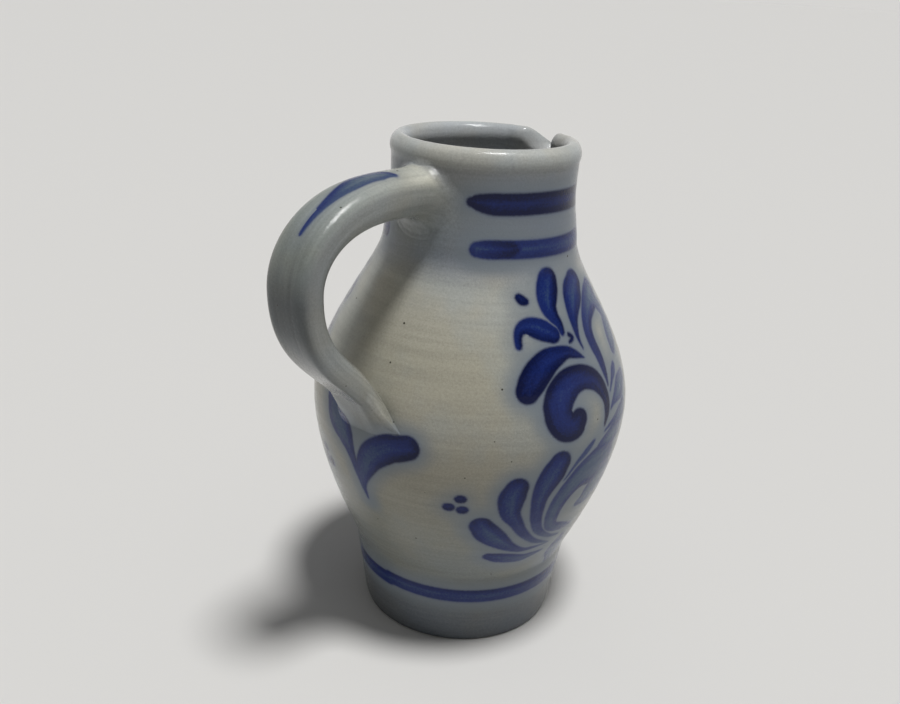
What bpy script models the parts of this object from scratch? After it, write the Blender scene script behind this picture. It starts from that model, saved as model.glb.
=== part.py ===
"""Salt-glazed stoneware jug of about one and a half litres.

The potter throws the body in one piece, pulls its rim out into a pouring lip, and lutes a pulled
strap handle to neck and belly with soft clay.  Lengths are in metres and +Z is up.  The origin is
the middle of the flat base, and the handle stands towards -X.
"""
import math
from dataclasses import dataclass

import bmesh
import bpy
import numpy as np
from mathutils import Vector

# Heights of the thrown body, stacked from the base
COLLAR_HEIGHT = 0.0367
BELLY_RISE = 0.0695
SHOULDER_RISE = 0.0718
NECK_LENGTH = 0.0420
WAIST_BELOW_LIP = 0.0180

# Outside radii of the thrown body
FOOT_RADIUS = 0.0445
COLLAR_RADIUS = 0.0501
BELLY_RADIUS = 0.0703
NECK_BASE_RADIUS = 0.0415
WAIST_RADIUS = 0.0390
RIM_RADIUS = 0.0398

# How the wall sets off at each station, and how far it holds that line
COLLAR_FLARE = math.radians(19.8)
COLLAR_EASE = 0.0092
BELLY_EASE_BELOW = 0.0288
BELLY_EASE_ABOVE = 0.0290
SHOULDER_EASE = 0.0133
NECK_LEAN = math.radians(5.0)
NECK_EASE = 0.0118
WAIST_EASE = 0.0115

# Thickness of the clay
WALL = 0.0055
FLOOR = 0.0080
FLOOR_CORNER_RADIUS = 0.0100
FOOT_EDGE_RADIUS = 0.0015

# Rounded bead of the rim, an ellipse in section that runs into the neck below its widest point
BEAD_THICKNESS = 0.0080
BEAD_HEIGHT = 0.0105
BEAD_TUCK = math.radians(32.0)

# Pouring lip, pulled out of the rim nearly opposite the handle
SPOUT_TURN = math.radians(-7.5)
SPOUT_WIDTH = 0.0235
SPOUT_REACH = 0.0080
SPOUT_DIP = 0.0075
SPOUT_DEPTH = 0.0230
SPOUT_PINCH = 0.0010
PINCH_PLACE_IN_HALF_WIDTHS = 1.2
PINCH_SPAN_IN_HALF_WIDTHS = 0.6

# Strap handle: its middle line leaves the neck, turns over at the grip and lands on the belly
ROOT_BELOW_LIP = 0.0190
ROOT_CLIMB = math.radians(6.3)
ROOT_EASE = 0.0491
GRIP_STANDOFF = 0.0630
GRIP_BELOW_LIP = 0.0471
GRIP_EASE_ABOVE = 0.0141
GRIP_EASE_BELOW = 0.0292
TAIL_ABOVE_BELLY = 0.0147
TAIL_FALL = math.radians(57.1)
TAIL_EASE = 0.0208
STRAP_WIDTH = 0.0222
ROOT_THICKNESS = 0.0197
TAIL_THICKNESS = 0.0126
STRAP_OUTER_SQUARENESS = 3.8
STRAP_INNER_SQUARENESS = 2.5

# Luting clay at the neck: its run out over the wall, and its climb up the strap
NECK_SPREAD_OUTER = 0.0035
NECK_SPREAD_FAN = 0.0080
NECK_SPREAD_FLANK = 0.0125
NECK_SPREAD_INNER = 0.0135
NECK_CLIMB_OUTER = 0.0130
NECK_CLIMB_FAN = 0.0160
NECK_CLIMB_FLANK = 0.0170
NECK_CLIMB_INNER = 0.0110

# Luting clay at the belly, drawn out into a fan below the strap
BELLY_SPREAD_OUTER = 0.0085
BELLY_SPREAD_FAN = 0.0060
BELLY_SPREAD_FLANK = 0.0022
BELLY_SPREAD_INNER = 0.0016
BELLY_CLIMB_OUTER = 0.0190
BELLY_CLIMB_FAN = 0.0150
BELLY_CLIMB_FLANK = 0.0080
BELLY_CLIMB_INNER = 0.0036

# Ridge that the thumb draws out of the belly's clay on the -Y side, ending in a point on the wall
RIB_TURN = math.radians(8.0)
RIB_WIDTH = math.radians(12.0)
RIB_ACROSS = 0.0090
RIB_DOWN = 0.0075
RIB_LIFT = 0.0022

# Thickness of the clay between strap and wall, its thin edge, the angle of the fan's ribs
# above the strap's flanks, and the clearance between pieces
SLIP = 0.0010
FAN_TURN = math.radians(28.0)
LUTE_EDGE = 0.0005
CLEARANCE = 0.0003

# Fineness of the meshes
SPOUT_STEPS = 26
ROUND_STEPS = 58
SPOUT_SECTOR_IN_HALF_WIDTHS = 4.0
ROWS_PER_CURVE = (3, 6, 7, 4, 2)
BEAD_ROWS = 8
CORNER_ROWS = 3
STRAP_SIDES = 32
STRAP_RINGS = 28
LUTE_SIDES = 48
SEAT_SHARES = (0.75, 0.5, 0.25)
FILLET_SHARES = (0.2, 0.4, 0.6, 0.8)
SOCKET_SHARES = (0.5,)
CURVE_SAMPLES = 200
SEARCH_STEPS = 40
SLOPE_STEP = 0.0002
MERGE_DISTANCE = 0.00001
SHARP_ANGLE = math.radians(40.0)

# Colour and gloss of the fired clay, and of the paler clay at the joints
STONEWARE = ((0.36, 0.34, 0.31, 1.0), 0.38)
HANDLE_STONEWARE = ((0.32, 0.31, 0.30, 1.0), 0.36)
LUTING_CLAY = ((0.34, 0.33, 0.31, 1.0), 0.40)

BELLY_HEIGHT = COLLAR_HEIGHT + BELLY_RISE
NECK_BASE_HEIGHT = BELLY_HEIGHT + SHOULDER_RISE
LIP_HEIGHT = NECK_BASE_HEIGHT + NECK_LENGTH
WAIST_HEIGHT = LIP_HEIGHT - WAIST_BELOW_LIP
BEAD_MIDDLE = Vector((RIM_RADIUS - BEAD_THICKNESS / 2, LIP_HEIGHT - BEAD_HEIGHT / 2))
UP = Vector((0.0, 1.0))


def leaning(angle):
    """Unit direction in the (radius, height) plane, turned outwards from upright."""
    return Vector((math.sin(angle), math.cos(angle)))


def along(curve, share):
    """Point at a share of a cubic curve given by its four control points."""
    rest = 1.0 - share
    return (curve[0] * rest ** 3 + curve[1] * (3 * rest * rest * share)
            + curve[2] * (3 * rest * share * share) + curve[3] * share ** 3)


def straight(start, end):
    """Straight run, written as a cubic curve."""
    return (start, start.lerp(end, 1 / 3), start.lerp(end, 2 / 3), end)


def bead_point(angle):
    """Point of the rim bead's section, turned upwards from its outermost point."""
    return BEAD_MIDDLE + Vector((BEAD_THICKNESS / 2 * math.cos(angle),
                                 BEAD_HEIGHT / 2 * math.sin(angle)))


def wall_curves():
    """The outside of the wall from foot to rim bead, as curves of (radius, height)."""
    foot = Vector((FOOT_RADIUS, 0.0))
    collar = Vector((COLLAR_RADIUS, COLLAR_HEIGHT))
    belly = Vector((BELLY_RADIUS, BELLY_HEIGHT))
    neck = Vector((NECK_BASE_RADIUS, NECK_BASE_HEIGHT))
    waist = Vector((WAIST_RADIUS, WAIST_HEIGHT))
    lean = leaning(-NECK_LEAN)
    return (
        straight(foot, collar),
        (collar, collar + leaning(COLLAR_FLARE) * COLLAR_EASE, belly - UP * BELLY_EASE_BELOW, belly),
        (belly, belly + UP * BELLY_EASE_ABOVE, neck - lean * SHOULDER_EASE, neck),
        (neck, neck + lean * NECK_EASE, waist - UP * WAIST_EASE, waist),
        straight(waist, bead_point(-BEAD_TUCK)),
    )


def sampled_outside():
    """Heights and radii that trace the outside closely enough to read off between them."""
    shares = np.linspace(0.0, 1.0, CURVE_SAMPLES)
    points = [along(curve, share) for curve in wall_curves() for share in shares]
    points += [bead_point(angle) for angle in np.linspace(-BEAD_TUCK, 0.0, CURVE_SAMPLES)]
    return np.array([p.y for p in points]), np.array([p.x for p in points])


OUTSIDE_HEIGHTS, OUTSIDE_RADII = sampled_outside()


def outer_radius(height):
    """Outside radius of the body at a height."""
    return float(np.interp(height, OUTSIDE_HEIGHTS, OUTSIDE_RADII))


def outer_slope(height):
    """Change of the outside radius with height."""
    return (outer_radius(height + SLOPE_STEP) - outer_radius(height - SLOPE_STEP)) / (2 * SLOPE_STEP)


def wall_point(swing, height, offset):
    """Point at an offset square to the wall, swung about +Z from the handle's plane."""
    square = Vector((1.0, -outer_slope(height))).normalized()
    radius = outer_radius(height) + offset * square.x
    return Vector((-radius * math.cos(swing), radius * math.sin(swing), height + offset * square.y))


def wall_gap(point):
    """Distance of a point outside the wall, square to it."""
    slope = outer_slope(point.z)
    return (math.hypot(point.x, point.y) - outer_radius(point.z)) / math.hypot(1.0, slope)


def body_section():
    """Half section of the thrown body, from the base's middle round to the floor's middle."""
    section = [Vector((0.0, 0.0))]
    for row in range(CORNER_ROWS):
        turn = math.pi / 2 * row / CORNER_ROWS
        section.append(Vector((FOOT_RADIUS - FOOT_EDGE_RADIUS * (1 - math.sin(turn)),
                               FOOT_EDGE_RADIUS * (1 - math.cos(turn)))))
    foot_top = Vector((outer_radius(FOOT_EDGE_RADIUS), FOOT_EDGE_RADIUS))
    curves = (straight(foot_top, wall_curves()[0][3]),) + wall_curves()[1:]
    for curve, rows in zip(curves, ROWS_PER_CURVE):
        section += [along(curve, row / rows) for row in range(rows)]
    bead_span = math.pi + 2 * BEAD_TUCK
    section += [bead_point(bead_span * row / BEAD_ROWS - BEAD_TUCK) for row in range(BEAD_ROWS + 1)]

    corner_middle = FLOOR + FLOOR_CORNER_RADIUS
    inward = Vector((WALL, 0.0))
    for curve, rows in reversed(tuple(zip(wall_curves()[:4], ROWS_PER_CURVE))):
        inside = [along(curve, 1 - row / rows) - inward for row in range(rows)]
        section += [point for point in inside if point.y > corner_middle]
    corner = Vector((outer_radius(corner_middle) - WALL - FLOOR_CORNER_RADIUS, corner_middle))
    for row in range(CORNER_ROWS + 1):
        turn = math.pi / 2 * row / CORNER_ROWS
        section.append(corner + FLOOR_CORNER_RADIUS * Vector((math.cos(turn), -math.sin(turn))))
    section.append(Vector((0.0, FLOOR)))
    return section


def bump(offset, half_width):
    """Smooth hump, one at the middle and nought from the half width outwards."""
    if abs(offset) >= half_width:
        return 0.0
    return math.cos(math.pi * offset / (2 * half_width)) ** 2


def smooth_rise(share):
    """Share eased at both ends and held between nought and one."""
    held = min(max(share, 0.0), 1.0)
    return held * held * (3 - 2 * held)


def spout_half_angle():
    """Angle at the axis between the middle of the pouring lip and one of its shoulders."""
    return math.asin(SPOUT_WIDTH / 2 / RIM_RADIUS)


def pull_spout(vertices):
    """Draw the rim out and down into a lip, and pinch it in on both sides."""
    half = spout_half_angle()
    for vertex in vertices:
        x, y, z = vertex.co
        radius = math.hypot(x, y)
        turn = math.atan2(y, x)
        away = math.remainder(turn - SPOUT_TURN, math.tau)
        rise = smooth_rise((z - LIP_HEIGHT + SPOUT_DEPTH) / SPOUT_DEPTH)
        beside = abs(away) - PINCH_PLACE_IN_HALF_WIDTHS * half
        pinch = SPOUT_PINCH * bump(beside, PINCH_SPAN_IN_HALF_WIDTHS * half)
        pulled = bump(away, half)
        radius += rise * (SPOUT_REACH * pulled - pinch)
        vertex.co = (radius * math.cos(turn), radius * math.sin(turn), z - rise * SPOUT_DIP * pulled)


@dataclass(frozen=True)
class Spine:
    """The strap's middle line as samples of run, radius, height and direction."""

    runs: np.ndarray
    points: np.ndarray
    directions: np.ndarray

    @property
    def length(self):
        """Length of the middle line between the two walls."""
        return float(self.runs[-1])

    def at(self, run):
        """Point and direction at a run, going straight on past either end."""
        held = min(max(run, 0.0), self.length)
        point = Vector([np.interp(held, self.runs, self.points[:, k]) for k in range(2)])
        direction = Vector([np.interp(held, self.runs, self.directions[:, k]) for k in range(2)])
        direction.normalize()
        return point + direction * (run - held), direction


def strap_spine():
    """Middle line of the strap: one curve from the neck to the grip, one on to the belly."""
    root_height = LIP_HEIGHT - ROOT_BELOW_LIP
    root = Vector((outer_radius(root_height), root_height))
    grip = Vector((WAIST_RADIUS + GRIP_STANDOFF, LIP_HEIGHT - GRIP_BELOW_LIP))
    tail_height = BELLY_HEIGHT + TAIL_ABOVE_BELLY
    tail = Vector((outer_radius(tail_height), tail_height))
    leave = Vector((math.cos(ROOT_CLIMB), math.sin(ROOT_CLIMB)))
    arrive = Vector((-math.cos(TAIL_FALL), -math.sin(TAIL_FALL)))
    curves = (
        (root, root + leave * ROOT_EASE, grip + UP * GRIP_EASE_ABOVE, grip),
        (grip, grip - UP * GRIP_EASE_BELOW, tail - arrive * TAIL_EASE, tail),
    )
    shares = np.linspace(0.0, 1.0, CURVE_SAMPLES)
    points = [along(curves[0], share) for share in shares]
    points += [along(curves[1], share) for share in shares[1:]]
    points = np.array([tuple(point) for point in points])
    steps = np.linalg.norm(np.diff(points, axis=0), axis=1)
    runs = np.concatenate(([0.0], np.cumsum(steps)))
    directions = np.gradient(points, runs, axis=0)
    return Spine(runs, points, directions)


SPINE = strap_spine()


def rounded(value, squareness):
    """Sine or cosine of a side's angle, pushed out towards a squarer section."""
    return math.copysign(abs(value) ** (2 / squareness), value)


def strap_point(run, side, grow=0.0):
    """Point of the strap's surface: side 0 looks along +Y, a quarter turn on looks outwards."""
    middle, direction = SPINE.at(run)
    outwards = Vector((-direction.y, direction.x))
    thinning = (1.0 - min(max(run / SPINE.length, 0.0), 1.0)) ** 2
    thickness = TAIL_THICKNESS + (ROOT_THICKNESS - TAIL_THICKNESS) * thinning
    squareness = STRAP_OUTER_SQUARENESS if math.sin(side) > 0 else STRAP_INNER_SQUARENESS
    through = (thickness / 2 + grow) * rounded(math.sin(side), squareness)
    across = (STRAP_WIDTH / 2 + grow) * rounded(math.cos(side), squareness)
    place = middle + outwards * through
    return Vector((-place.x, across, place.y))


def round_sides(count):
    """Angles of equally many steps round the strap's section."""
    return [math.tau * step / count for step in range(count)]


def tilt_of(side):
    """Angle of a side above the strap's flanks, towards its outer face."""
    return math.asin(math.sin(side))


@dataclass(frozen=True)
class Reach:
    """How far the luting clay goes on each face of the strap."""

    inner: float
    flank: float
    fan: float
    outer: float

    def at(self, side):
        """Reach at a side, eased from one face to the next."""
        tilt = tilt_of(side)
        stations = ((-math.pi / 2, self.inner), (0.0, self.flank), (FAN_TURN, self.fan),
                    (math.pi / 2, self.outer))
        for (low, before), (high, after) in zip(stations, stations[1:]):
            if tilt <= high:
                return before + (after - before) * smooth_rise((tilt - low) / (high - low))
        return self.outer


@dataclass(frozen=True)
class Rib:
    """Ridge drawn out of the luting clay: how far its point goes, and how high its crest stands."""

    across: float = 0.0
    down: float = 0.0
    lift: float = 0.0

    def share(self, side):
        """Share of the ridge at a side, one along its crest and nought on the strap's +Y half."""
        if math.cos(side) >= 0:
            return 0.0
        return math.exp(-((tilt_of(side) - RIB_TURN) / RIB_WIDTH) ** 2)


@dataclass(frozen=True)
class Seat:
    """One end of the strap and the luting clay round it.

    The runs inside and outside lie well within the wall and well clear of it.
    """

    inside: float
    outside: float
    upwards: float
    spread: Reach
    climb: Reach
    rib: Rib = Rib()

    def landing(self, side, offset, grow=0.0):
        """Run at which a side of the strap comes within an offset of the wall."""
        inside, outside = self.inside, self.outside
        for _ in range(SEARCH_STEPS):
            middle = (inside + outside) / 2
            if wall_gap(strap_point(middle, side, grow)) < offset:
                inside = middle
            else:
                outside = middle
        return outside

    def end_ring(self, offset, grow=0.0):
        """The strap's outline where it comes within an offset of the wall."""
        return [strap_point(self.landing(side, offset, grow), side, grow) for side in LUTE_ROUND]

    def climb_ring(self, grow):
        """Outline on the strap up to which the luting clay climbs."""
        ring = []
        for side in LUTE_ROUND:
            climb = math.copysign(self.climb.at(side), self.outside - self.inside)
            ring.append(strap_point(self.landing(side, 0.0) + climb, side, grow))
        return ring

    def root_places(self):
        """Swing and height of the strap's own outline on the wall."""
        return places_of(self.end_ring(0.0))

    def spread_places(self):
        """Swing and height of the luting clay's outline on the wall."""
        places = []
        for side, (swing, height) in zip(LUTE_ROUND, self.root_places()):
            spread = self.spread.at(side)
            ridge = self.rib.share(side)
            across = spread * math.cos(side) - ridge * self.rib.across
            rise = self.upwards * spread * math.sin(side) - ridge * self.rib.down
            places.append((swing + across / outer_radius(height), height + rise))
        return places

    def crest_ring(self, offset):
        """Corner between wall and strap that the fillet rounds off, lifted where the ridge runs."""
        corner = self.end_ring(offset, offset)
        return [wall_point(*place, offset + self.rib.lift * self.rib.share(side))
                for place, side in zip(places_of(corner), LUTE_ROUND)]


STRAP_ROUND = round_sides(STRAP_SIDES)
LUTE_ROUND = round_sides(LUTE_SIDES)
NECK_SEAT = Seat(
    inside=-ROOT_THICKNESS,
    outside=GRIP_STANDOFF / 2,
    upwards=1.0,
    spread=Reach(NECK_SPREAD_INNER, NECK_SPREAD_FLANK, NECK_SPREAD_FAN, NECK_SPREAD_OUTER),
    climb=Reach(NECK_CLIMB_INNER, NECK_CLIMB_FLANK, NECK_CLIMB_FAN, NECK_CLIMB_OUTER),
)
BELLY_SEAT = Seat(
    inside=SPINE.length + 2 * TAIL_THICKNESS,
    outside=SPINE.length - GRIP_STANDOFF / 2,
    upwards=-1.0,
    spread=Reach(BELLY_SPREAD_INNER, BELLY_SPREAD_FLANK, BELLY_SPREAD_FAN, BELLY_SPREAD_OUTER),
    climb=Reach(BELLY_CLIMB_INNER, BELLY_CLIMB_FLANK, BELLY_CLIMB_FAN, BELLY_CLIMB_OUTER),
    rib=Rib(RIB_ACROSS, RIB_DOWN, RIB_LIFT),
)


def wall_ring(places, offset):
    """Ring that lies at an offset over the wall."""
    return [wall_point(swing, height, offset) for swing, height in places]


def seat_rings(places, offset):
    """Rings that close in over the wall from an outline, and the point where they meet."""
    middle_swing = sum(swing for swing, _ in places) / len(places)
    middle_height = sum(height for _, height in places) / len(places)
    rings = []
    for share in SEAT_SHARES:
        nearer = [(middle_swing + share * (swing - middle_swing),
                   middle_height + share * (height - middle_height)) for swing, height in places]
        rings.append(wall_ring(nearer, offset))
    return rings, wall_point(middle_swing, middle_height, offset)


def places_of(ring):
    """Swing and height of each point of a ring."""
    return [(math.atan2(point.y, -point.x), point.z) for point in ring]


def skin(rings, first_tip, last_tip):
    """Closed mesh through rings of equally many points, ending in a tip at either side."""
    mesh = bmesh.new()
    loops = [[mesh.verts.new(point) for point in ring] for ring in rings]
    tips = [mesh.verts.new(first_tip), mesh.verts.new(last_tip)]
    for step in range(len(loops[0])):
        after = (step + 1) % len(loops[0])
        for lower, upper in zip(loops, loops[1:]):
            mesh.faces.new((lower[step], lower[after], upper[after], upper[step]))
        mesh.faces.new((tips[0], loops[0][after], loops[0][step]))
        mesh.faces.new((tips[1], loops[-1][step], loops[-1][after]))
    bmesh.ops.recalc_face_normals(mesh, faces=mesh.faces[:])
    return mesh


def blended(start, end, share):
    """Ring part of the way from one ring to another."""
    return [a.lerp(b, share) for a, b in zip(start, end)]


def clear_of_wall(ring, offset):
    """Ring whose points are moved out level wherever they come closer to the wall than an offset."""
    moved = []
    for point in ring:
        short = max(offset - wall_gap(point), 0.0) * math.hypot(1.0, outer_slope(point.z))
        level = Vector((point.x, point.y, 0.0)).normalized()
        moved.append(point + level * short)
    return moved


def thrown_body():
    """Foot, belly, neck, rim and pouring lip, turned in one piece and then pulled."""
    sector = SPOUT_SECTOR_IN_HALF_WIDTHS * spout_half_angle()
    start = SPOUT_TURN - sector / 2
    mesh = bmesh.new()
    edge = [mesh.verts.new((r * math.cos(start), r * math.sin(start), z)) for r, z in body_section()]
    profile = edge + [mesh.edges.new(pair) for pair in zip(edge, edge[1:])]
    for angle, steps in ((sector, SPOUT_STEPS), (math.tau - sector, ROUND_STEPS)):
        turned = bmesh.ops.spin(mesh, geom=profile, cent=(0, 0, 0), axis=(0, 0, 1), angle=angle,
                                steps=steps, use_merge=False, use_duplicate=False)
        profile = turned["geom_last"]
    bmesh.ops.remove_doubles(mesh, verts=mesh.verts[:], dist=MERGE_DISTANCE)
    bmesh.ops.recalc_face_normals(mesh, faces=mesh.faces[:])
    pull_spout(mesh.verts)
    return mesh


def strap_handle():
    """Pulled strap, cut at both ends to the curve of the wall it is set on."""
    offset = SLIP + 2 * CLEARANCE
    starts = [NECK_SEAT.landing(side, offset) for side in STRAP_ROUND]
    stops = [BELLY_SEAT.landing(side, offset) for side in STRAP_ROUND]
    rings = []
    for step in range(STRAP_RINGS + 1):
        share = step / STRAP_RINGS
        rings.append([strap_point(start + share * (stop - start), side)
                      for start, stop, side in zip(starts, stops, STRAP_ROUND)])
    root_rings, root_tip = seat_rings(places_of(rings[0]), offset)
    tail_rings, tail_tip = seat_rings(places_of(rings[-1]), offset)
    return skin(root_rings[::-1] + rings + tail_rings, root_tip, tail_tip)


def lute(seat):
    """Soft clay under one end of the strap and in a fillet round it."""
    outline = seat.spread_places()
    root = seat.root_places()
    halfway = [((a + c) / 2, (b + d) / 2) for (a, b), (c, d) in zip(outline, root)]
    skin_offset = CLEARANCE + LUTE_EDGE
    under_rings, under_tip = seat_rings(root, CLEARANCE)
    under_rings = [wall_ring(halfway, CLEARANCE), wall_ring(root, CLEARANCE)] + under_rings
    lower_edge = wall_ring(outline, CLEARANCE)
    upper_edge = wall_ring(outline, skin_offset)
    corner = seat.crest_ring(skin_offset)
    climb_outside = seat.climb_ring(skin_offset)
    climb_inside = seat.climb_ring(CLEARANCE)
    fillet = []
    for share in FILLET_SHARES:
        drawn = blended(blended(upper_edge, corner, share), blended(corner, climb_outside, share), share)
        fillet.append(clear_of_wall(drawn, skin_offset))
    socket_edge = seat.end_ring(CLEARANCE + SLIP, CLEARANCE)
    socket = [blended(climb_inside, socket_edge, share) for share in SOCKET_SHARES]
    floor_rings, floor_tip = seat_rings(places_of(socket_edge), CLEARANCE + SLIP)
    rings = (under_rings[::-1] + [lower_edge, upper_edge] + fillet + [climb_outside, climb_inside]
             + socket + [socket_edge] + floor_rings)
    return skin(rings, under_tip, floor_tip)


def fired(name, look):
    """Principled material of one clay."""
    colour, roughness = look
    material = bpy.data.materials.new(name)
    material.use_nodes = True
    shader = material.node_tree.nodes["Principled BSDF"]
    shader.inputs["Base Color"].default_value = colour
    shader.inputs["Roughness"].default_value = roughness
    shader.inputs["Metallic"].default_value = 0.0
    return material


def place(name, mesh, material, parent):
    """Give a mesh its object, material, smooth shading and parent."""
    data = bpy.data.meshes.new(name)
    mesh.to_mesh(data)
    mesh.free()
    data.materials.append(material)
    data.shade_smooth()
    data.set_sharp_from_angle(angle=SHARP_ANGLE)
    piece = bpy.data.objects.new(name, data)
    piece.parent = parent
    bpy.context.scene.collection.objects.link(piece)


def main():
    """Clear the scene and build the jug's pieces under one empty."""
    for leftover in list(bpy.data.objects):
        bpy.data.objects.remove(leftover, do_unlink=True)
    jug = bpy.data.objects.new("jug", None)
    bpy.context.scene.collection.objects.link(jug)
    clay = fired("stoneware", STONEWARE)
    handle_clay = fired("handle_stoneware", HANDLE_STONEWARE)
    soft_clay = fired("luting_clay", LUTING_CLAY)
    place("thrown_body", thrown_body(), clay, jug)
    place("strap_handle", strap_handle(), handle_clay, jug)
    place("neck_lute", lute(NECK_SEAT), soft_clay, jug)
    place("belly_lute", lute(BELLY_SEAT), soft_clay, jug)


if __name__ == "__main__":
    main()
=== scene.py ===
"""Looks of a salt-glazed stoneware jug with cobalt brushwork.

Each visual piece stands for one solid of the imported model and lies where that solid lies: the
thrown body, the pulled strap handle, and the two luted joints between them.  Lengths are in metres
and +Z is up.  Brush strokes are given as a decorator would measure them off the pot: turns in
degrees about +Z, heights and half widths in millimetres.
"""
import logging
import math
from dataclasses import dataclass, replace
from enum import Enum
from functools import cached_property, reduce
from typing import Any, Iterable, Sequence

import bmesh
import bpy
import numpy as np
from mathutils import Matrix, Vector


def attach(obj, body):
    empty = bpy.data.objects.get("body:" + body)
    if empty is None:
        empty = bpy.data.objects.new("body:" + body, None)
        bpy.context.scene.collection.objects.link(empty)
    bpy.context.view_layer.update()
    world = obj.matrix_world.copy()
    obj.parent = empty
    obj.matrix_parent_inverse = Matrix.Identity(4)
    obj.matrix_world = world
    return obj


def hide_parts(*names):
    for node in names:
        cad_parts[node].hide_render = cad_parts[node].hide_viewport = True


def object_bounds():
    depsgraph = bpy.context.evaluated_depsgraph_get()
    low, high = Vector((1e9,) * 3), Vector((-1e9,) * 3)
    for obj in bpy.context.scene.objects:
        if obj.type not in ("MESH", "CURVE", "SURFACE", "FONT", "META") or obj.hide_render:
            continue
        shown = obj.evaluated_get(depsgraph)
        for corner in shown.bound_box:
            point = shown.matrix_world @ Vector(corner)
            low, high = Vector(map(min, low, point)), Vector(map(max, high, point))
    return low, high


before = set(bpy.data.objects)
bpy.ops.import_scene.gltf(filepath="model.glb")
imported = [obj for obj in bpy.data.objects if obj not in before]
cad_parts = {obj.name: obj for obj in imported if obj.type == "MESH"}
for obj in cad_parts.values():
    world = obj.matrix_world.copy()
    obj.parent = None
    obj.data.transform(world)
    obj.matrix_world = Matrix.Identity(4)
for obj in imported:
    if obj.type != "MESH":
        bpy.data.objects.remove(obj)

CAD_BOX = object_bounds()
LOG = logging.getLogger("jug")
MM = 0.001
CURVE_SAMPLES = 200
SEARCH_STEPS = 40
CLEARANCE_STRIDE = 3
GRAIN_STRETCH = 0.04
MERGE_DISTANCE = 1e-6
TINY = 1e-9
UP = np.array((0.0, 1.0))
Colour = tuple[float, float, float]
Noise = tuple[float, float, float]
Span = tuple[float, float]


class Clay(Enum):
    """Material slots of the record."""

    BODY = "stoneware"
    HANDLE = "handle_stoneware"
    JOINT = "luting_clay"


def smooth_rise(share: Any) -> Any:
    """Share eased at both ends and held between nought and one."""
    held = np.clip(share, 0.0, 1.0)
    return held * held * (3 - 2 * held)


def hump(offset: Any, half_width: float) -> Any:
    """Smooth hump, one in the middle and nought from the half width outwards."""
    return np.cos(np.pi / 2 * np.clip(offset / half_width, -1.0, 1.0)) ** 2


def leaning(angle: float) -> np.ndarray:
    """Unit direction in the (radius, height) plane, turned outwards from upright."""
    return np.array((math.sin(angle), math.cos(angle)))


def cubic(start: Any, leave: Any, arrive: Any, end: Any, shares: np.ndarray) -> np.ndarray:
    """Points at shares of a cubic curve.

    Args:
        start: First control point.
        leave: Second control point.
        arrive: Third control point.
        end: Last control point.
        shares: Places on the curve between nought and one.

    Returns:
        One row per share.
    """
    share = shares[:, None]
    rest = 1.0 - share
    return (start * rest ** 3 + leave * (3 * rest * rest * share)
            + arrive * (3 * rest * share * share) + end * share ** 3)


def blended(stops: Sequence[tuple[float, Colour]], places: np.ndarray) -> np.ndarray:
    """Colours read off a row of stops.

    Args:
        stops: Pairs of place and colour, in rising order.
        places: Where to read.

    Returns:
        One colour row per place.
    """
    marks = [place for place, _ in stops]
    return np.stack([np.interp(places, marks, [colour[k] for _, colour in stops]) for k in range(3)], -1)


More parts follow.
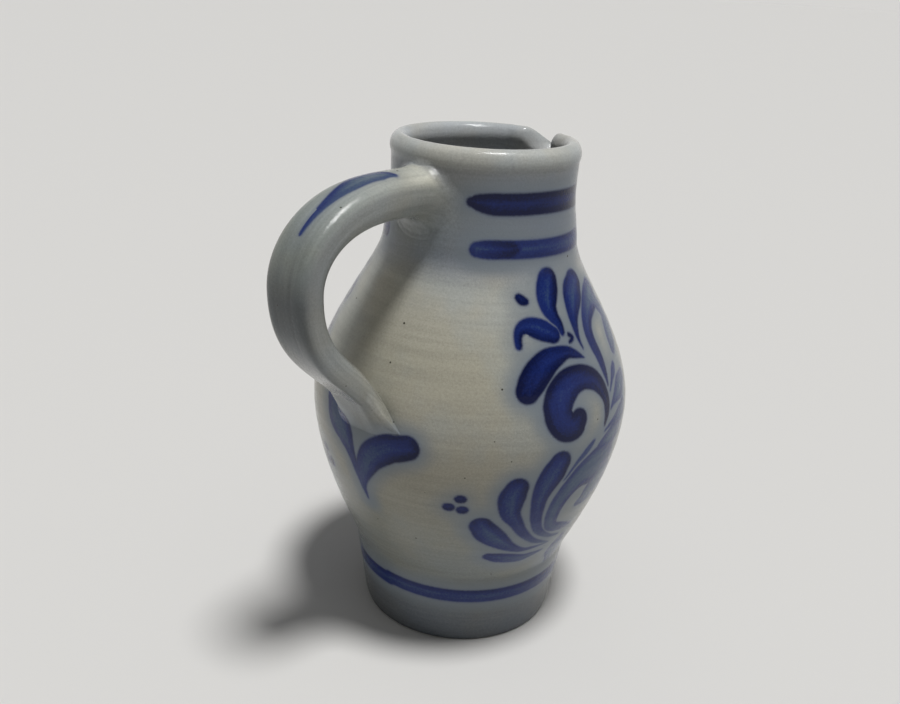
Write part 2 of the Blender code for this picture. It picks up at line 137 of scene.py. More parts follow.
@dataclass(frozen=True)
class ThrownForm:
    """The turned shape of the body, and the pull that makes its pouring lip."""

    lip_height: float = CAD_BOX[1].z
    collar_height: float = 0.0367
    belly_rise: float = 0.0695
    neck_length: float = 0.0420
    waist_below_lip: float = 0.0180
    foot_radius: float = 0.0445
    collar_radius: float = 0.0501
    belly_radius: float = 0.0703
    neck_base_radius: float = 0.0415
    waist_radius: float = 0.0390
    rim_radius: float = 0.0398
    collar_flare: float = math.radians(19.8)
    collar_ease: float = 0.0092
    belly_ease_below: float = 0.0288
    belly_ease_above: float = 0.0290
    shoulder_ease: float = 0.0133
    neck_lean: float = math.radians(5.0)
    neck_ease: float = 0.0118
    waist_ease: float = 0.0115
    wall: float = 0.0055
    floor: float = 0.0080
    floor_corner_radius: float = 0.0100
    foot_edge_radius: float = 0.0015
    bead_thickness: float = 0.0080
    bead_height: float = 0.0105
    bead_tuck: float = math.radians(32.0)
    spout_turn: float = math.radians(-7.5)
    spout_width: float = 0.0235
    spout_reach: float = 0.0080
    spout_dip: float = 0.0075
    spout_depth: float = 0.0230
    spout_pinch: float = 0.0010
    pinch_place_in_half_widths: float = 1.2
    pinch_span_in_half_widths: float = 0.6

    @property
    def belly_height(self) -> float:
        """Height of the widest point."""
        return self.collar_height + self.belly_rise

    def bead(self, angles: np.ndarray) -> np.ndarray:
        """Points of the rim bead's section, turned upwards from its outermost point."""
        return np.stack((self.rim_radius + self.bead_thickness / 2 * (np.cos(angles) - 1),
                         self.lip_height + self.bead_height / 2 * (np.sin(angles) - 1)), -1)

    @cached_property
    def outside(self) -> np.ndarray:
        """Rows of radius and height that trace the outside from the base to the bead's widest point."""
        shares = np.linspace(0.0, 1.0, CURVE_SAMPLES)
        foot = np.array((self.foot_radius, 0.0))
        collar = np.array((self.collar_radius, self.collar_height))
        belly = np.array((self.belly_radius, self.belly_height))
        neck = np.array((self.neck_base_radius, self.lip_height - self.neck_length))
        waist = np.array((self.waist_radius, self.lip_height - self.waist_below_lip))
        lean = leaning(-self.neck_lean)
        tuck = self.bead(np.array((-self.bead_tuck,)))
        return np.concatenate((
            foot + shares[:-1, None] * (collar - foot),
            cubic(collar, collar + leaning(self.collar_flare) * self.collar_ease,
                  belly - UP * self.belly_ease_below, belly, shares)[:-1],
            cubic(belly, belly + UP * self.belly_ease_above,
                  neck - lean * self.shoulder_ease, neck, shares)[:-1],
            cubic(neck, neck + lean * self.neck_ease, waist - UP * self.waist_ease, waist, shares)[:-1],
            waist + shares[:-1, None] * (tuck - waist),
            self.bead(np.linspace(-self.bead_tuck, 0.0, CURVE_SAMPLES)),
        ))

    def radius(self, heights: Any) -> Any:
        """Outside radius at each height."""
        return np.interp(heights, self.outside[:, 1], self.outside[:, 0])

    def slope(self, heights: Any, step: float = 0.0002) -> Any:
        """Change of the outside radius with height."""
        return (self.radius(heights + step) - self.radius(heights - step)) / (2 * step)

    def surface(self, turns: Any, heights: Any, offset: Any = 0.0) -> tuple[np.ndarray, np.ndarray]:
        """Points at an offset square to the outside, and the directions square to it.

        Args:
            turns: Angles about +Z from +X.
            heights: Heights of the points on the outside.
            offset: Distance outwards, one for all or one for each.

        Returns:
            Rows of points, and rows of unit directions.
        """
        slope = self.slope(heights)
        level = 1.0 / np.hypot(1.0, slope)
        square = np.stack((level * np.cos(turns), level * np.sin(turns), -slope * level), -1)
        radius = self.radius(heights)
        points = np.stack((radius * np.cos(turns), radius * np.sin(turns), heights), -1)
        return points + np.asarray(offset)[..., None] * square, square

    def unrolled(self, points: np.ndarray, rounds: int = 12) -> np.ndarray:
        """Turn, height and offset from which surface() gives each point.

        Args:
            points: Rows of points outside the wall.
            rounds: Number of times the height is improved.

        Returns:
            Rows of turn between nought and a full turn, height and offset.
        """
        reach = np.hypot(points[:, 0], points[:, 1])
        height = points[:, 2]
        offset = np.zeros_like(height)
        for _ in range(rounds):
            slope = self.slope(height)
            offset = (reach - self.radius(height)) * np.hypot(1.0, slope)
            height = points[:, 2] + offset * slope / np.hypot(1.0, slope)
        return np.stack((np.arctan2(points[:, 1], points[:, 0]) % math.tau, height, offset), -1)

    def gap(self, points: np.ndarray) -> np.ndarray:
        """Distance of each point outside the wall, square to it."""
        height = points[..., 2]
        reach = np.hypot(points[..., 0], points[..., 1]) - self.radius(height)
        return reach / np.hypot(1.0, self.slope(height))

    def pulled(self, points: np.ndarray) -> np.ndarray:
        """Points after the rim is drawn out and down into a lip, and pinched in on both sides.

        Args:
            points: Rows of points on the turned shape.

        Returns:
            The moved rows.
        """
        half = math.asin(self.spout_width / 2 / self.rim_radius)
        radius = np.hypot(points[:, 0], points[:, 1])
        turn = np.arctan2(points[:, 1], points[:, 0])
        away = np.angle(np.exp(1j * (turn - self.spout_turn)))
        rise = smooth_rise((points[:, 2] - self.lip_height + self.spout_depth) / self.spout_depth)
        beside = np.abs(away) - self.pinch_place_in_half_widths * half
        pinch = self.spout_pinch * hump(beside, self.pinch_span_in_half_widths * half)
        pull = hump(away, half)
        radius = radius + rise * (self.spout_reach * pull - pinch)
        return np.stack((radius * np.cos(turn), radius * np.sin(turn),
                         points[:, 2] - rise * self.spout_dip * pull), -1)


@dataclass(frozen=True)
class StrapForm:
    """The pulled strap: a squarish section swept along one middle line in the handle's plane."""

    wall: ThrownForm
    root_below_lip: float = 0.0190
    root_climb: float = math.radians(6.3)
    root_ease: float = 0.0491
    grip_standoff: float = 0.0630
    grip_below_lip: float = 0.0471
    grip_ease_above: float = 0.0141
    grip_ease_below: float = 0.0292
    tail_above_belly: float = 0.0147
    tail_fall: float = math.radians(57.1)
    tail_ease: float = 0.0208
    width: float = 0.0222
    root_thickness: float = 0.0197
    tail_thickness: float = 0.0126
    root_squareness: float = 2.0
    outer_squareness: float = 3.8
    inner_squareness: float = 2.5
    tail_squareness: float = 1.6
    tail_length: float = 0.0450
    square_start: float = 0.0120
    square_length: float = 0.0350
    flute_depth: float = 0.0007
    flute_start: float = 0.0550
    flute_length: float = 0.0350
    flute_sharpness: int = 6
    tail_pinch: float = 0.18
    pinch_length: float = 0.0180
    probe_step: float = 0.0004

    @cached_property
    def spine(self) -> tuple[np.ndarray, np.ndarray, np.ndarray]:
        """Runs, points and directions along the middle line, in the (radius, height) plane."""
        wall = self.wall
        shares = np.linspace(0.0, 1.0, CURVE_SAMPLES)
        root_height = wall.lip_height - self.root_below_lip
        root = np.array((wall.radius(root_height), root_height))
        grip = np.array((wall.waist_radius + self.grip_standoff, wall.lip_height - self.grip_below_lip))
        tail_height = wall.belly_height + self.tail_above_belly
        tail = np.array((wall.radius(tail_height), tail_height))
        leave = np.array((math.cos(self.root_climb), math.sin(self.root_climb)))
        arrive = -np.array((math.cos(self.tail_fall), math.sin(self.tail_fall)))
        points = np.concatenate((
            cubic(root, root + leave * self.root_ease, grip + UP * self.grip_ease_above, grip, shares),
            cubic(grip, grip - UP * self.grip_ease_below, tail - arrive * self.tail_ease, tail, shares)[1:],
        ))
        steps = np.linalg.norm(np.diff(points, axis=0), axis=1)
        runs = np.concatenate(((0.0,), np.cumsum(steps)))
        directions = np.gradient(points, runs, axis=0)
        return runs, points, directions

    @property
    def length(self) -> float:
        """Length of the middle line between the two walls."""
        return float(self.spine[0][-1])

    def squareness(self, run: Any) -> Any:
        """Squareness of the section's outer half, which is rounder near the root."""
        share = smooth_rise((run - self.square_start) / self.square_length)
        return self.root_squareness + (self.outer_squareness - self.root_squareness) * share

    def surface(self, run: Any, side: Any, grow: float = 0.0) -> np.ndarray:
        """Points of the strap's skin; side 0 looks along +Y and a quarter turn on looks outwards.

        Args:
            run: Lengths along the middle line, going straight on past either end.
            side: Angles round the section.
            grow: Distance by which the section is made larger.

        Returns:
            Points, with the shape of the arguments and one more axis.
        """
        run, side = np.broadcast_arrays(run, side)
        runs, points, directions = self.spine
        held = np.clip(run, 0.0, self.length)
        middle = np.stack([np.interp(held, runs, points[:, k]) for k in range(2)], -1)
        ahead = np.stack([np.interp(held, runs, directions[:, k]) for k in range(2)], -1)
        ahead = ahead / np.linalg.norm(ahead, axis=-1, keepdims=True)
        middle = middle + ahead * (run - held)[..., None]
        thinning = (1.0 - held / self.length) ** 2
        thickness = self.tail_thickness + (self.root_thickness - self.tail_thickness) * thinning
        sine, cosine = np.sin(side), np.cos(side)
        rounding = smooth_rise((held - self.length + self.tail_length) / self.tail_length)
        inner = self.inner_squareness + (self.tail_squareness - self.inner_squareness) * rounding
        power = 2 / np.where(sine > 0, self.squareness(held), inner)
        through = (thickness / 2 + grow) * np.copysign(np.abs(sine) ** power, sine)
        across = (self.width / 2 + grow) * np.copysign(np.abs(cosine) ** power, cosine)
        flute = self.flute_depth * smooth_rise((held - self.flute_start) / self.flute_length)
        through = through - flute * np.clip(sine, 0.0, 1.0) ** self.flute_sharpness
        pinch = self.tail_pinch * smooth_rise((held - self.length + self.pinch_length) / self.pinch_length)
        through = through * np.where(sine < 0, 1.0 - pinch, 1.0)
        radius = middle[..., 0] - ahead[..., 1] * through
        height = middle[..., 1] + ahead[..., 0] * through
        return np.stack((-radius, across, height), -1)

    def landing(self, side: np.ndarray, offset: float, inside: float, outside: float,
                grow: float = 0.0) -> np.ndarray:
        """Runs at which the sides of the strap come within an offset of the wall.

        Args:
            side: Angles round the section.
            offset: Distance outside the wall.
            inside: A run that lies within the wall.
            outside: A run that lies well clear of it.
            grow: Distance by which the section is made larger.

        Returns:
            One run per side.
        """
        near = np.full_like(side, inside)
        far = np.full_like(side, outside)
        for _ in range(SEARCH_STEPS):
            middle = (near + far) / 2
            sunk = self.wall.gap(self.surface(middle, side, grow)) < offset
            near = np.where(sunk, middle, near)
            far = np.where(sunk, far, middle)
        return far

    def on_face(self, across: Any, run: Any) -> tuple[np.ndarray, np.ndarray]:
        """Points of the outer face at distances across and along it, and the directions square to it.

        Args:
            across: Distances from the handle's plane, towards +Y.
            run: Lengths along the middle line.

        Returns:
            Rows of points, and rows of unit directions.
        """
        share = np.clip(np.abs(across) / (self.width / 2), 0.0, 1.0) ** (self.squareness(run) / 2)
        side = np.arccos(np.copysign(share, across))
        step = self.probe_step
        points = self.surface(run, side)
        ahead = self.surface(run + step, side) - self.surface(run - step, side)
        around = self.surface(run, side + step) - self.surface(run, side - step)
        square = np.cross(ahead, around)
        return points, square / np.linalg.norm(square, axis=-1, keepdims=True)

    def measured(self, places: np.ndarray) -> tuple[np.ndarray, np.ndarray, np.ndarray]:
        """Where points near the strap lie on it.

        Args:
            places: Rows of points.

        Returns:
            Lengths along the strap, angles round it, and distances outwards from its middle line.
        """
        runs, points, directions = self.spine
        flat = np.stack((-places[:, 0], places[:, 2]), -1)
        nearest = np.argmin(((flat[:, None] - points[None]) ** 2).sum(2), axis=1)
        ahead = directions[nearest]
        outwards = np.stack((-ahead[:, 1], ahead[:, 0]), -1)
        through = ((flat - points[nearest]) * outwards).sum(1)
        half = self.tail_thickness / 2
        side = np.arctan2(through / half, places[:, 1] / (self.width / 2))
        return runs[nearest], side, through


@dataclass(frozen=True)
class Stroke:
    """One touch of the brush.

    The route holds a few points, each with two places on the surface and the half width of the
    touch there.  Tones run from 0, a thin wash, to 1, a full brush.  Pool says towards which side,
    -1 to 1, the colour ran before it dried, and haze how far it clouded the glaze round it.
    """

    name: str
    route: tuple[tuple[float, float, float], ...]
    tones: tuple[float, float] = (0.8, 0.6)
    pool: float = 0.0
    haze: float = 0.85

    def sampled(self, per_leg: int = 24) -> np.ndarray:
        """Rows of a smooth curve through the route's points."""
        route = np.array(self.route)
        before = np.concatenate((2 * route[:1] - route[1:2], route, 2 * route[-1:] - route[-2:-1]))
        rows = []
        for p0, p1, p2, p3 in zip(before, before[1:], before[2:], before[3:]):
            rows.append(cubic(p1, p1 + (p2 - p0) / 6, p2 - (p3 - p1) / 6, p2,
                              np.arange(per_leg) / per_leg))
        rows.append(route[-1:])
        return np.concatenate(rows)

    def turned(self, turn: float) -> "Stroke":
        """The same touch, swung round the pot by a turn in degrees."""
        return replace(self, route=tuple((a + turn, b, w) for a, b, w in self.route))

    def mirrored(self, axis: float) -> "Stroke":
        """The same touch, reflected in the upright plane at a turn in degrees."""
        return replace(self, route=tuple((2 * axis - a, b, w) for a, b, w in self.route), pool=-self.pool)


@dataclass(frozen=True)
class LaidStroke:
    """A stroke laid on a surface, with its samples in metres and its half widths in millimetres."""

    stroke: Stroke
    points: np.ndarray
    squares: np.ndarray
    halves: np.ndarray

    @property
    def tangents(self) -> np.ndarray:
        """Unit directions along the samples."""
        ahead = np.gradient(self.points, axis=0)
        return ahead / np.maximum(np.linalg.norm(ahead, axis=1, keepdims=True), TINY)

    @property
    def lengths(self) -> np.ndarray:
        """Lengths from the start to each sample, in millimetres."""
        steps = np.linalg.norm(np.diff(self.points, axis=0), axis=1)
        return np.concatenate(((0.0,), np.cumsum(steps))) / MM

    def clearance(self, other: "LaidStroke") -> float:
        """Smallest distance between the edges of two strokes, in millimetres."""
        some = slice(None, None, CLEARANCE_STRIDE)
        apart = np.linalg.norm(self.points[some, None] - other.points[None, some], axis=2) / MM
        return float((apart - self.halves[some, None] - other.halves[None, some]).min())

    def measured(self, places: np.ndarray) -> tuple[np.ndarray, np.ndarray, np.ndarray, np.ndarray]:
        """Where places lie on the stroke.

        Args:
            places: Rows of points near the stroke.

        Returns:
            Lengths along the stroke, distances to its side, its half width there, and how deep the
            places lie in the stroke, below nought outside it, in millimetres.
        """
        apart = places[:, None] - self.points[None]
        distance = np.linalg.norm(apart, axis=2)
        nearest = np.argmin(distance, axis=1)
        sunk = (self.halves - distance / MM).max(1)
        away = apart[np.arange(len(places)), nearest] / MM
        tangents = self.tangents[nearest]
        sidewards = np.cross(self.squares[nearest], tangents)
        ahead = (away * tangents).sum(1)
        aside = (away * sidewards).sum(1)
        along = self.lengths[nearest] + ahead
        half = self.halves[nearest]
        beyond = np.maximum(np.where(nearest == 0, -ahead, 0.0),
                            np.where(nearest == len(self.points) - 1, ahead, 0.0))
        reach = np.hypot(aside, np.maximum(beyond, 0.0))
        aside = aside * np.abs(aside) / np.maximum(reach, TINY)
        return along, aside, half - reach + np.abs(aside), sunk


@dataclass(frozen=True)
class Brushwork:
    """Cobalt decoration, painted freehand before the firing.

    One spray is drawn out in full.  Its mirror image and two smaller sprays repeat its touches
    round the front, bands circle neck and foot, and a pair of leaves hangs under the handle.
    """

    wall: ThrownForm
    strap: StrapForm
    spray_turn: float = -62.0
    mirror_turn: float = 7.0
    middle_spray_turn: float = 18.0
    band_end: float = 148.5
    layer_gap: float = 4.0
    fringe: float = 1.7
    overlap: float = 1.8
    halo_reach: float = 9.0
    least_facing: float = 0.2
    edge_blur: float = 0.3
    least_half: float = 0.8
    pool_strength: float = 0.30
    bare_tone: float = 0.5
    bare_half: float = -10.0

    SPRAY = (
        Stroke("seed", ((-58.5, 164.5, 1.7), (-57, 163.5, 2.1), (-55.5, 163, 1.7)), (0.75, 0.8), 0.0, 0.5),
        Stroke("bud_left", ((-40, 169.8, 4.9), (-41.3, 167, 5.4), (-42.8, 163.5, 5.1), (-43.3, 160, 4.1),
                            (-42, 156.8, 3), (-40, 153.8, 2), (-39.3, 150.5, 1.3)), (0.72, 0.65), 0.6, 0.55),
        Stroke("bud_middle", ((-20, 166.5, 5.2), (-23.5, 163.8, 6.1), (-26.5, 160.5, 5.4), (-28.8, 157.3, 4),
                              (-30.3, 154, 2.6), (-31, 150.5, 1.6), (-31, 146.5, 0.8), (-30, 143, 0.3)),
               (0.7, 0.6), 0.2),
        Stroke("bud_right", ((-4, 160.5, 5), (-9, 158.5, 5.8), (-14.5, 156.5, 5), (-19.5, 153.5, 3.8),
                             (-22.5, 149.5, 3.2), (-23, 144.5, 2.8), (-21.5, 139, 2.5), (-20.5, 133, 1.9),
                             (-20, 126, 0.5)), (0.55, 0.68), 0.3),
        Stroke("bud_hook", ((-6, 158, 4.6), (-2, 153, 3.6), (0, 149, 3.8), (-1.5, 145, 5), (-4, 140.5, 5),
                            (-6, 137, 3)), (0.45, 0.4)),
        Stroke("leaf_left", ((-60.8, 147.8, 1.6), (-61, 150.2, 1.7), (-60.2, 152.7, 2.2), (-57.8, 154.2, 3.1),
                             (-54, 154.1, 4), (-49, 152.5, 4.4), (-44.5, 150.5, 3.6)),
               (0.65, 0.7), -0.4, 0.5),
        Stroke("tick", ((-36, 149.5, 0.9), (-34.5, 148, 1), (-36.5, 146.8, 0.8)), (0.8, 0.8)),
        Stroke("comma", ((-31, 140, 0.3), (-35, 142, 1.7), (-39.5, 143.5, 2.7), (-44.5, 143, 4.1),
                         (-49.5, 141.5, 5.4), (-54, 138.2, 6.1), (-57.2, 134.5, 5.9), (-58.8, 132, 5.2)),
               (0.65, 1.0), 0.3),
        Stroke("scroll_up", ((-25, 111, 0.7), (-23.3, 116, 1.9), (-23, 121, 2.5), (-25, 126.5, 3.5),
                             (-28.5, 130.8, 4.5), (-33.5, 133.2, 5.1), (-38.5, 133.3, 5.9),
                             (-42.5, 131.8, 6.8), (-46, 128.5, 7.2), (-47.5, 125, 7.1)),
               (0.92, 0.85), -0.3),
        Stroke("scroll_bulb", ((-47.5, 125, 7), (-47, 120.5, 7), (-44.5, 117, 6.9), (-41, 116, 6.2),
                               (-39, 118, 4.7)), (0.85, 1.0), -0.2),
        Stroke("edge_sliver", ((-11.5, 131.5, 1.5), (-13.5, 129.5, 2.1), (-16, 127, 1.1), (-19.5, 123, 0.3)),
               (0.45, 0.45)),
        Stroke("edge_leaf_up", ((-5, 124.5, 3.5), (-9.5, 122, 5.5), (-14, 120, 3.6), (-18, 118, 1.4),
                                (-20.5, 116, 0.4)), (0.45, 0.45)),
        Stroke("edge_leaf_mid", ((-8, 114, 2.4), (-10.5, 111, 4.6), (-16, 110, 2.6), (-20.5, 109.5, 1.1),
                                 (-25, 108, 0.4)), (0.45, 0.45)),
        Stroke("edge_leaf_low", ((-13.5, 105, 3.4), (-18, 103.5, 5.6), (-23, 103, 3.6), (-26.5, 102.5, 1.7),
                                 (-28.5, 101.5, 0.4)), (0.45, 0.45)),
        Stroke("stem_line", ((-31, 106, 0.9), (-33, 104, 1.4), (-36, 101, 1.3), (-38.5, 98.5, 0.9),
                             (-43, 91.5, 0.3)), (0.4, 0.4)),
        Stroke("fan_tall", ((-46.3, 100.8, 5.6), (-48, 97, 6.4), (-50, 92, 5.9), (-51.2, 87, 4.7),
                            (-51.5, 82, 3.7), (-50.5, 73, 2.8), (-47, 65, 2), (-39.5, 59, 1.1),
                            (-33, 57, 0.4)), (0.75, 0.3), 0.2),
        Stroke("fan_second", ((-61.3, 91.7, 5.3), (-62.3, 87.5, 6.1), (-62.3, 82.5, 5.3), (-61.5, 78, 4.2),
                              (-59, 73.5, 3.1), (-54.5, 66, 2.2), (-47.5, 59, 1.4), (-37.5, 54, 0.4)),
               (0.72, 0.3), 0.2),
        Stroke("fan_third", ((-72, 72.5, 5), (-69.3, 68.3, 5.7), (-65.5, 64.3, 5.1), (-62, 61, 3.9),
                             (-58, 57.7, 2.6), (-52, 54.5, 1.5), (-45.5, 54, 0.9), (-38.5, 54, 0.4)),
               (0.68, 0.3), 0.2),
        Stroke("fan_low", ((-67, 53, 2.2), (-62.5, 51.5, 3.1), (-56.5, 50, 3.1), (-50, 48.5, 2.5),
                           (-44.5, 49, 1.5), (-39, 49.5, 0.5)), (0.58, 0.3), 0.2),
        Stroke("curl", ((-20, 94.5, 6.5), (-26.5, 93, 9.5), (-33.5, 91, 7.6), (-38.5, 86.5, 5.8),
                        (-42, 80, 4.8), (-43, 72, 3.8), (-41, 65.5, 2.9), (-34.5, 62.5, 2.4),
                        (-27, 60.5, 0.8)), (0.58, 0.38), 0.2),
        Stroke("curl_hook", ((-19, 84, 7), (-23.5, 79, 6.5), (-27, 75.5, 4.5), (-30, 74, 1.8)), (0.42, 0.4)),
        Stroke("low_leaf", ((-27.7, 53.5, 1.6), (-28.5, 47.8, 4.5), (-27, 41, 5.5), (-28.3, 38, 1.4)),
               (0.4, 0.4)),
    )
    MIDDLE_TOUCHES = ("bud_left", "bud_middle", "comma", "scroll_up", "scroll_bulb", "fan_tall", "fan_second",
                      "curl", "stem_line")
    LEAVES = (
        Stroke("leaf_far", ((-194.8, 115.5, 5), (-192.2, 111, 7), (-190, 107.5, 7.2), (-186.8, 102.5, 5.6),
                            (-184, 96, 2.8), (-181.5, 88, 1.9), (-178.5, 75, 0.4)), (0.6, 0.5), 0.4),
        Stroke("leaf_near", ((-160.5, 107, 5.4), (-164, 105.5, 5.8), (-168, 104, 6.4), (-174, 98.5, 6.3),
                             (-178, 90, 4.6), (-179.5, 82, 1.9), (-178.5, 75, 0.4)), (0.86, 0.38), 0.3),
    )
    DOTS = (
        Stroke("berry_top", ((-142.4, 86.8, 2.1), (-141.6, 86.8, 2.1)), (0.72, 0.72), 0.0, 0.4),
        Stroke("berry_left", ((-146.4, 82.2, 2.1), (-145.5, 82.2, 2.1)), (0.68, 0.68), 0.0, 0.4),
        Stroke("berry_right", ((-141.6, 81.2, 2.1), (-140.8, 81.2, 2.1)), (0.68, 0.68), 0.0, 0.4),
    )
    HANDLE_TOUCH = Stroke("handle_touch", ((-4.2, 19.4, 1.5), (-1.4, 23, 4.6), (0.6, 29, 5.6), (0, 36, 4.7),
                                           (-0.5, 42, 3.4), (-0.9, 48, 2.2), (-1, 54, 1.4), (-1, 59.5, 0.8)),
                          (0.37, 0.43), -0.3, 0.35)

    def bands(self) -> list[Stroke]:
        """The rings round neck and foot, each with a slight wander.

        The upper ring starts with the brush's tip.  The lower one starts blunt, and its loaded
        start overlaps a thinner end.
        """
        end = self.band_end
        turns = np.linspace(20 - end, end, 12)
        tip = ((1 - end, 200, 2), (4 - end, 200, 3.1), (12 - end, 199.6, 4.2))
        upper = tip + tuple((float(t), 199.3 + 0.3 * math.sin(t / 23), 4.4) for t in turns)
        blunt = ((6 - end, 182, 3.1), (11 - end, 182.1, 3.7))
        lower = blunt + tuple((float(t), 182.2 + 0.3 * math.sin(t / 31 + 1), 3.7) for t in turns)
        loaded = blunt + ((20 - end, 182.2, 3.7), (26 - end, 182.3, 3.2), (29 - end, 182.2, 1.6))
        foot = tuple((float(t), 26.5 + 0.4 * math.sin(t / 37), 3.5) for t in np.linspace(-180, 180, 19))
        return [Stroke("neck_band_upper", upper, (0.9, 0.95)),
                Stroke("neck_band_lower", lower, (0.55, 0.7)),
                Stroke("neck_band_loaded", loaded, (0.5, 1.0)),
                Stroke("foot_band", foot, (0.55, 0.55), 0.3)]

    def body_strokes(self) -> list[LaidStroke]:
        """Every stroke on the thrown body, in the order of painting."""
        whole = [touch.turned(self.spray_turn) for touch in self.SPRAY]
        middle = [touch.turned(self.middle_spray_turn) for touch in self.SPRAY
                  if touch.name in self.MIDDLE_TOUCHES]
        one_side = whole + middle
        other_side = [touch.mirrored(self.mirror_turn) for touch in one_side]
        dots = list(self.DOTS) + [touch.mirrored(self.mirror_turn) for touch in self.DOTS]
        touches = one_side + other_side + dots + self.bands()
        return [self.laid_on_wall(touch) for touch in touches] + self.leaf_strokes()

    def leaf_strokes(self) -> list[LaidStroke]:
        """The two leaves under the handle."""
        return [self.laid_on_wall(touch) for touch in self.LEAVES]

    def joint_strokes(self) -> list[LaidStroke]:
        """Every stroke that comes near the handle or one of its joints."""
        bands = [self.laid_on_wall(touch) for touch in self.bands()]
        return bands + self.leaf_strokes() + self.handle_strokes()

    def handle_strokes(self) -> list[LaidStroke]:
        """The one long touch over the top of the handle."""
        rows = self.HANDLE_TOUCH.sampled()
        points, squares = self.strap.on_face(rows[:, 0] * MM, rows[:, 1] * MM)
        return [LaidStroke(self.HANDLE_TOUCH, points, squares, rows[:, 2])]

    def laid_on_wall(self, stroke: Stroke) -> LaidStroke:
        """A stroke laid on the outside of the body."""
        rows = stroke.sampled()
        points, squares = self.wall.surface(np.radians(rows[:, 0]), rows[:, 1] * MM)
        return LaidStroke(stroke, points, squares, rows[:, 2])

    def layers(self, strokes: Sequence[LaidStroke]) -> list[int]:
        """Layer number of each stroke, so that strokes of one layer never come close."""
        chosen: list[int] = []
        for index, stroke in enumerate(strokes):
            taken = {chosen[other] for other in range(index)
                     if stroke.clearance(strokes[other]) < self.layer_gap}
            chosen.append(next(number for number in range(len(strokes)) if number not in taken))
        return chosen

    def paint(self, mesh: bpy.types.Mesh, strokes: Sequence[LaidStroke]) -> int:
        """Write the strokes to a mesh as attributes that its finish reads.

        Each layer holds the distance from a stroke's middle line and the stroke's half width.
        The brush attribute holds the length along the topmost stroke, the distance to its side and
        its tone.  The rim attribute holds how deep a place lies in the paint, and the haze round it.

        Args:
            mesh: The mesh, with its vertices in place.
            strokes: Strokes in the order of painting.

        Returns:
            Number of layers written.
        """
        places = read_vectors(mesh.vertices, "co")
        squares = read_vectors(mesh.vertices, "normal")
        numbers = self.layers(strokes)
        count = max(numbers) + 1
        layers = np.zeros((count, len(places), 3))
        layers[..., 1] = self.bare_half
        brush = np.zeros((len(places), 3))
        brush[:, 2] = self.bare_tone
        top = np.full(len(places), -self.halo_reach)
        halo = np.zeros(len(places))
        for number, stroke in zip(numbers, strokes):
            margin = self.halo_reach + stroke.halves.max()
            near = np.flatnonzero(((places > stroke.points.min(0) - margin * MM)
                                   & (places < stroke.points.max(0) + margin * MM)).all(1))
            facing = squares[near] @ stroke.squares.T
            near = near[facing.max(1) > self.least_facing]
            along, aside, half, sunk = stroke.measured(places[near])
            inside = half - np.abs(aside)
            shown = inside > -self.fringe
            layers[number, near[shown], 0] = aside[shown]
            layers[number, near[shown], 1] = half[shown]
            clouded = stroke.stroke.haze * smooth_rise(1 + sunk / self.halo_reach)
            halo[near] += (1 - halo[near]) * clouded
            over = (inside > -self.edge_blur) | (inside > top[near])
            covered = near[over]
            share = along[over] / max(stroke.lengths[-1], 1.0)
            across = aside[over] / np.maximum(half[over], self.least_half)
            start, end = stroke.stroke.tones
            tone = start + (end - start) * np.clip(share, 0, 1)
            tone = tone + self.pool_strength * stroke.stroke.pool * np.clip(across, -1, 1)
            laid = smooth_rise((inside[over] + self.edge_blur) / self.overlap)
            fresh = np.where(top[covered] > -self.edge_blur, laid, 1.0)
            tone = brush[covered, 2] + (tone - brush[covered, 2]) * fresh
            brush[covered] = np.stack((along[over], aside[over], tone), -1)
            top[covered] = np.maximum(top[covered], inside[over])
        for number in range(count):
            write_attribute(mesh, f"stroke_{number}", "FLOAT_VECTOR", layers[number])
        write_attribute(mesh, "brush", "FLOAT_VECTOR", brush)
        write_attribute(mesh, "rim", "FLOAT_VECTOR", np.stack((top, halo, halo), -1))
        return count


def read_vectors(items: Any, name: str) -> np.ndarray:
    """Vectors of one property of a mesh's elements, one row each."""
    flat = np.zeros(len(items) * 3, np.float32)
    items.foreach_get(name, flat)
    return flat.reshape(-1, 3).astype(float)


def write_attribute(mesh: bpy.types.Mesh, name: str, kind: str, rows: np.ndarray) -> None:
    """Store one value per vertex under a name.

    Args:
        mesh: The mesh to store on.
        name: Name that a finish reads.
        kind: Blender's attribute type.
        rows: One row per vertex.
    """
    layer = mesh.attributes.new(name, kind, "POINT")
    layer.data.foreach_set("color" if kind == "FLOAT_COLOR" else "vector", rows.astype(np.float32).ravel())


def write_clay(mesh: bpy.types.Mesh, colours: np.ndarray, grain: np.ndarray) -> None:
    """Store the clay's colour, painted light and shade included, and its grain.

    Args:
        mesh: The mesh to store on.
        colours: One colour row per vertex.
        grain: One point per vertex, in a space drawn out along the potter's strokes.
    """
    opaque = np.concatenate((colours, np.ones((len(colours), 1))), 1)
    write_attribute(mesh, "clay", "FLOAT_COLOR", opaque)
    write_attribute(mesh, "grain", "FLOAT_VECTOR", grain / MM)


def released(shape: bmesh.types.BMesh, name: str) -> bpy.types.Mesh:
    """Mesh made from a bmesh, which is freed."""
    mesh = bpy.data.meshes.new(name)
    shape.to_mesh(mesh)
    shape.free()
    return mesh


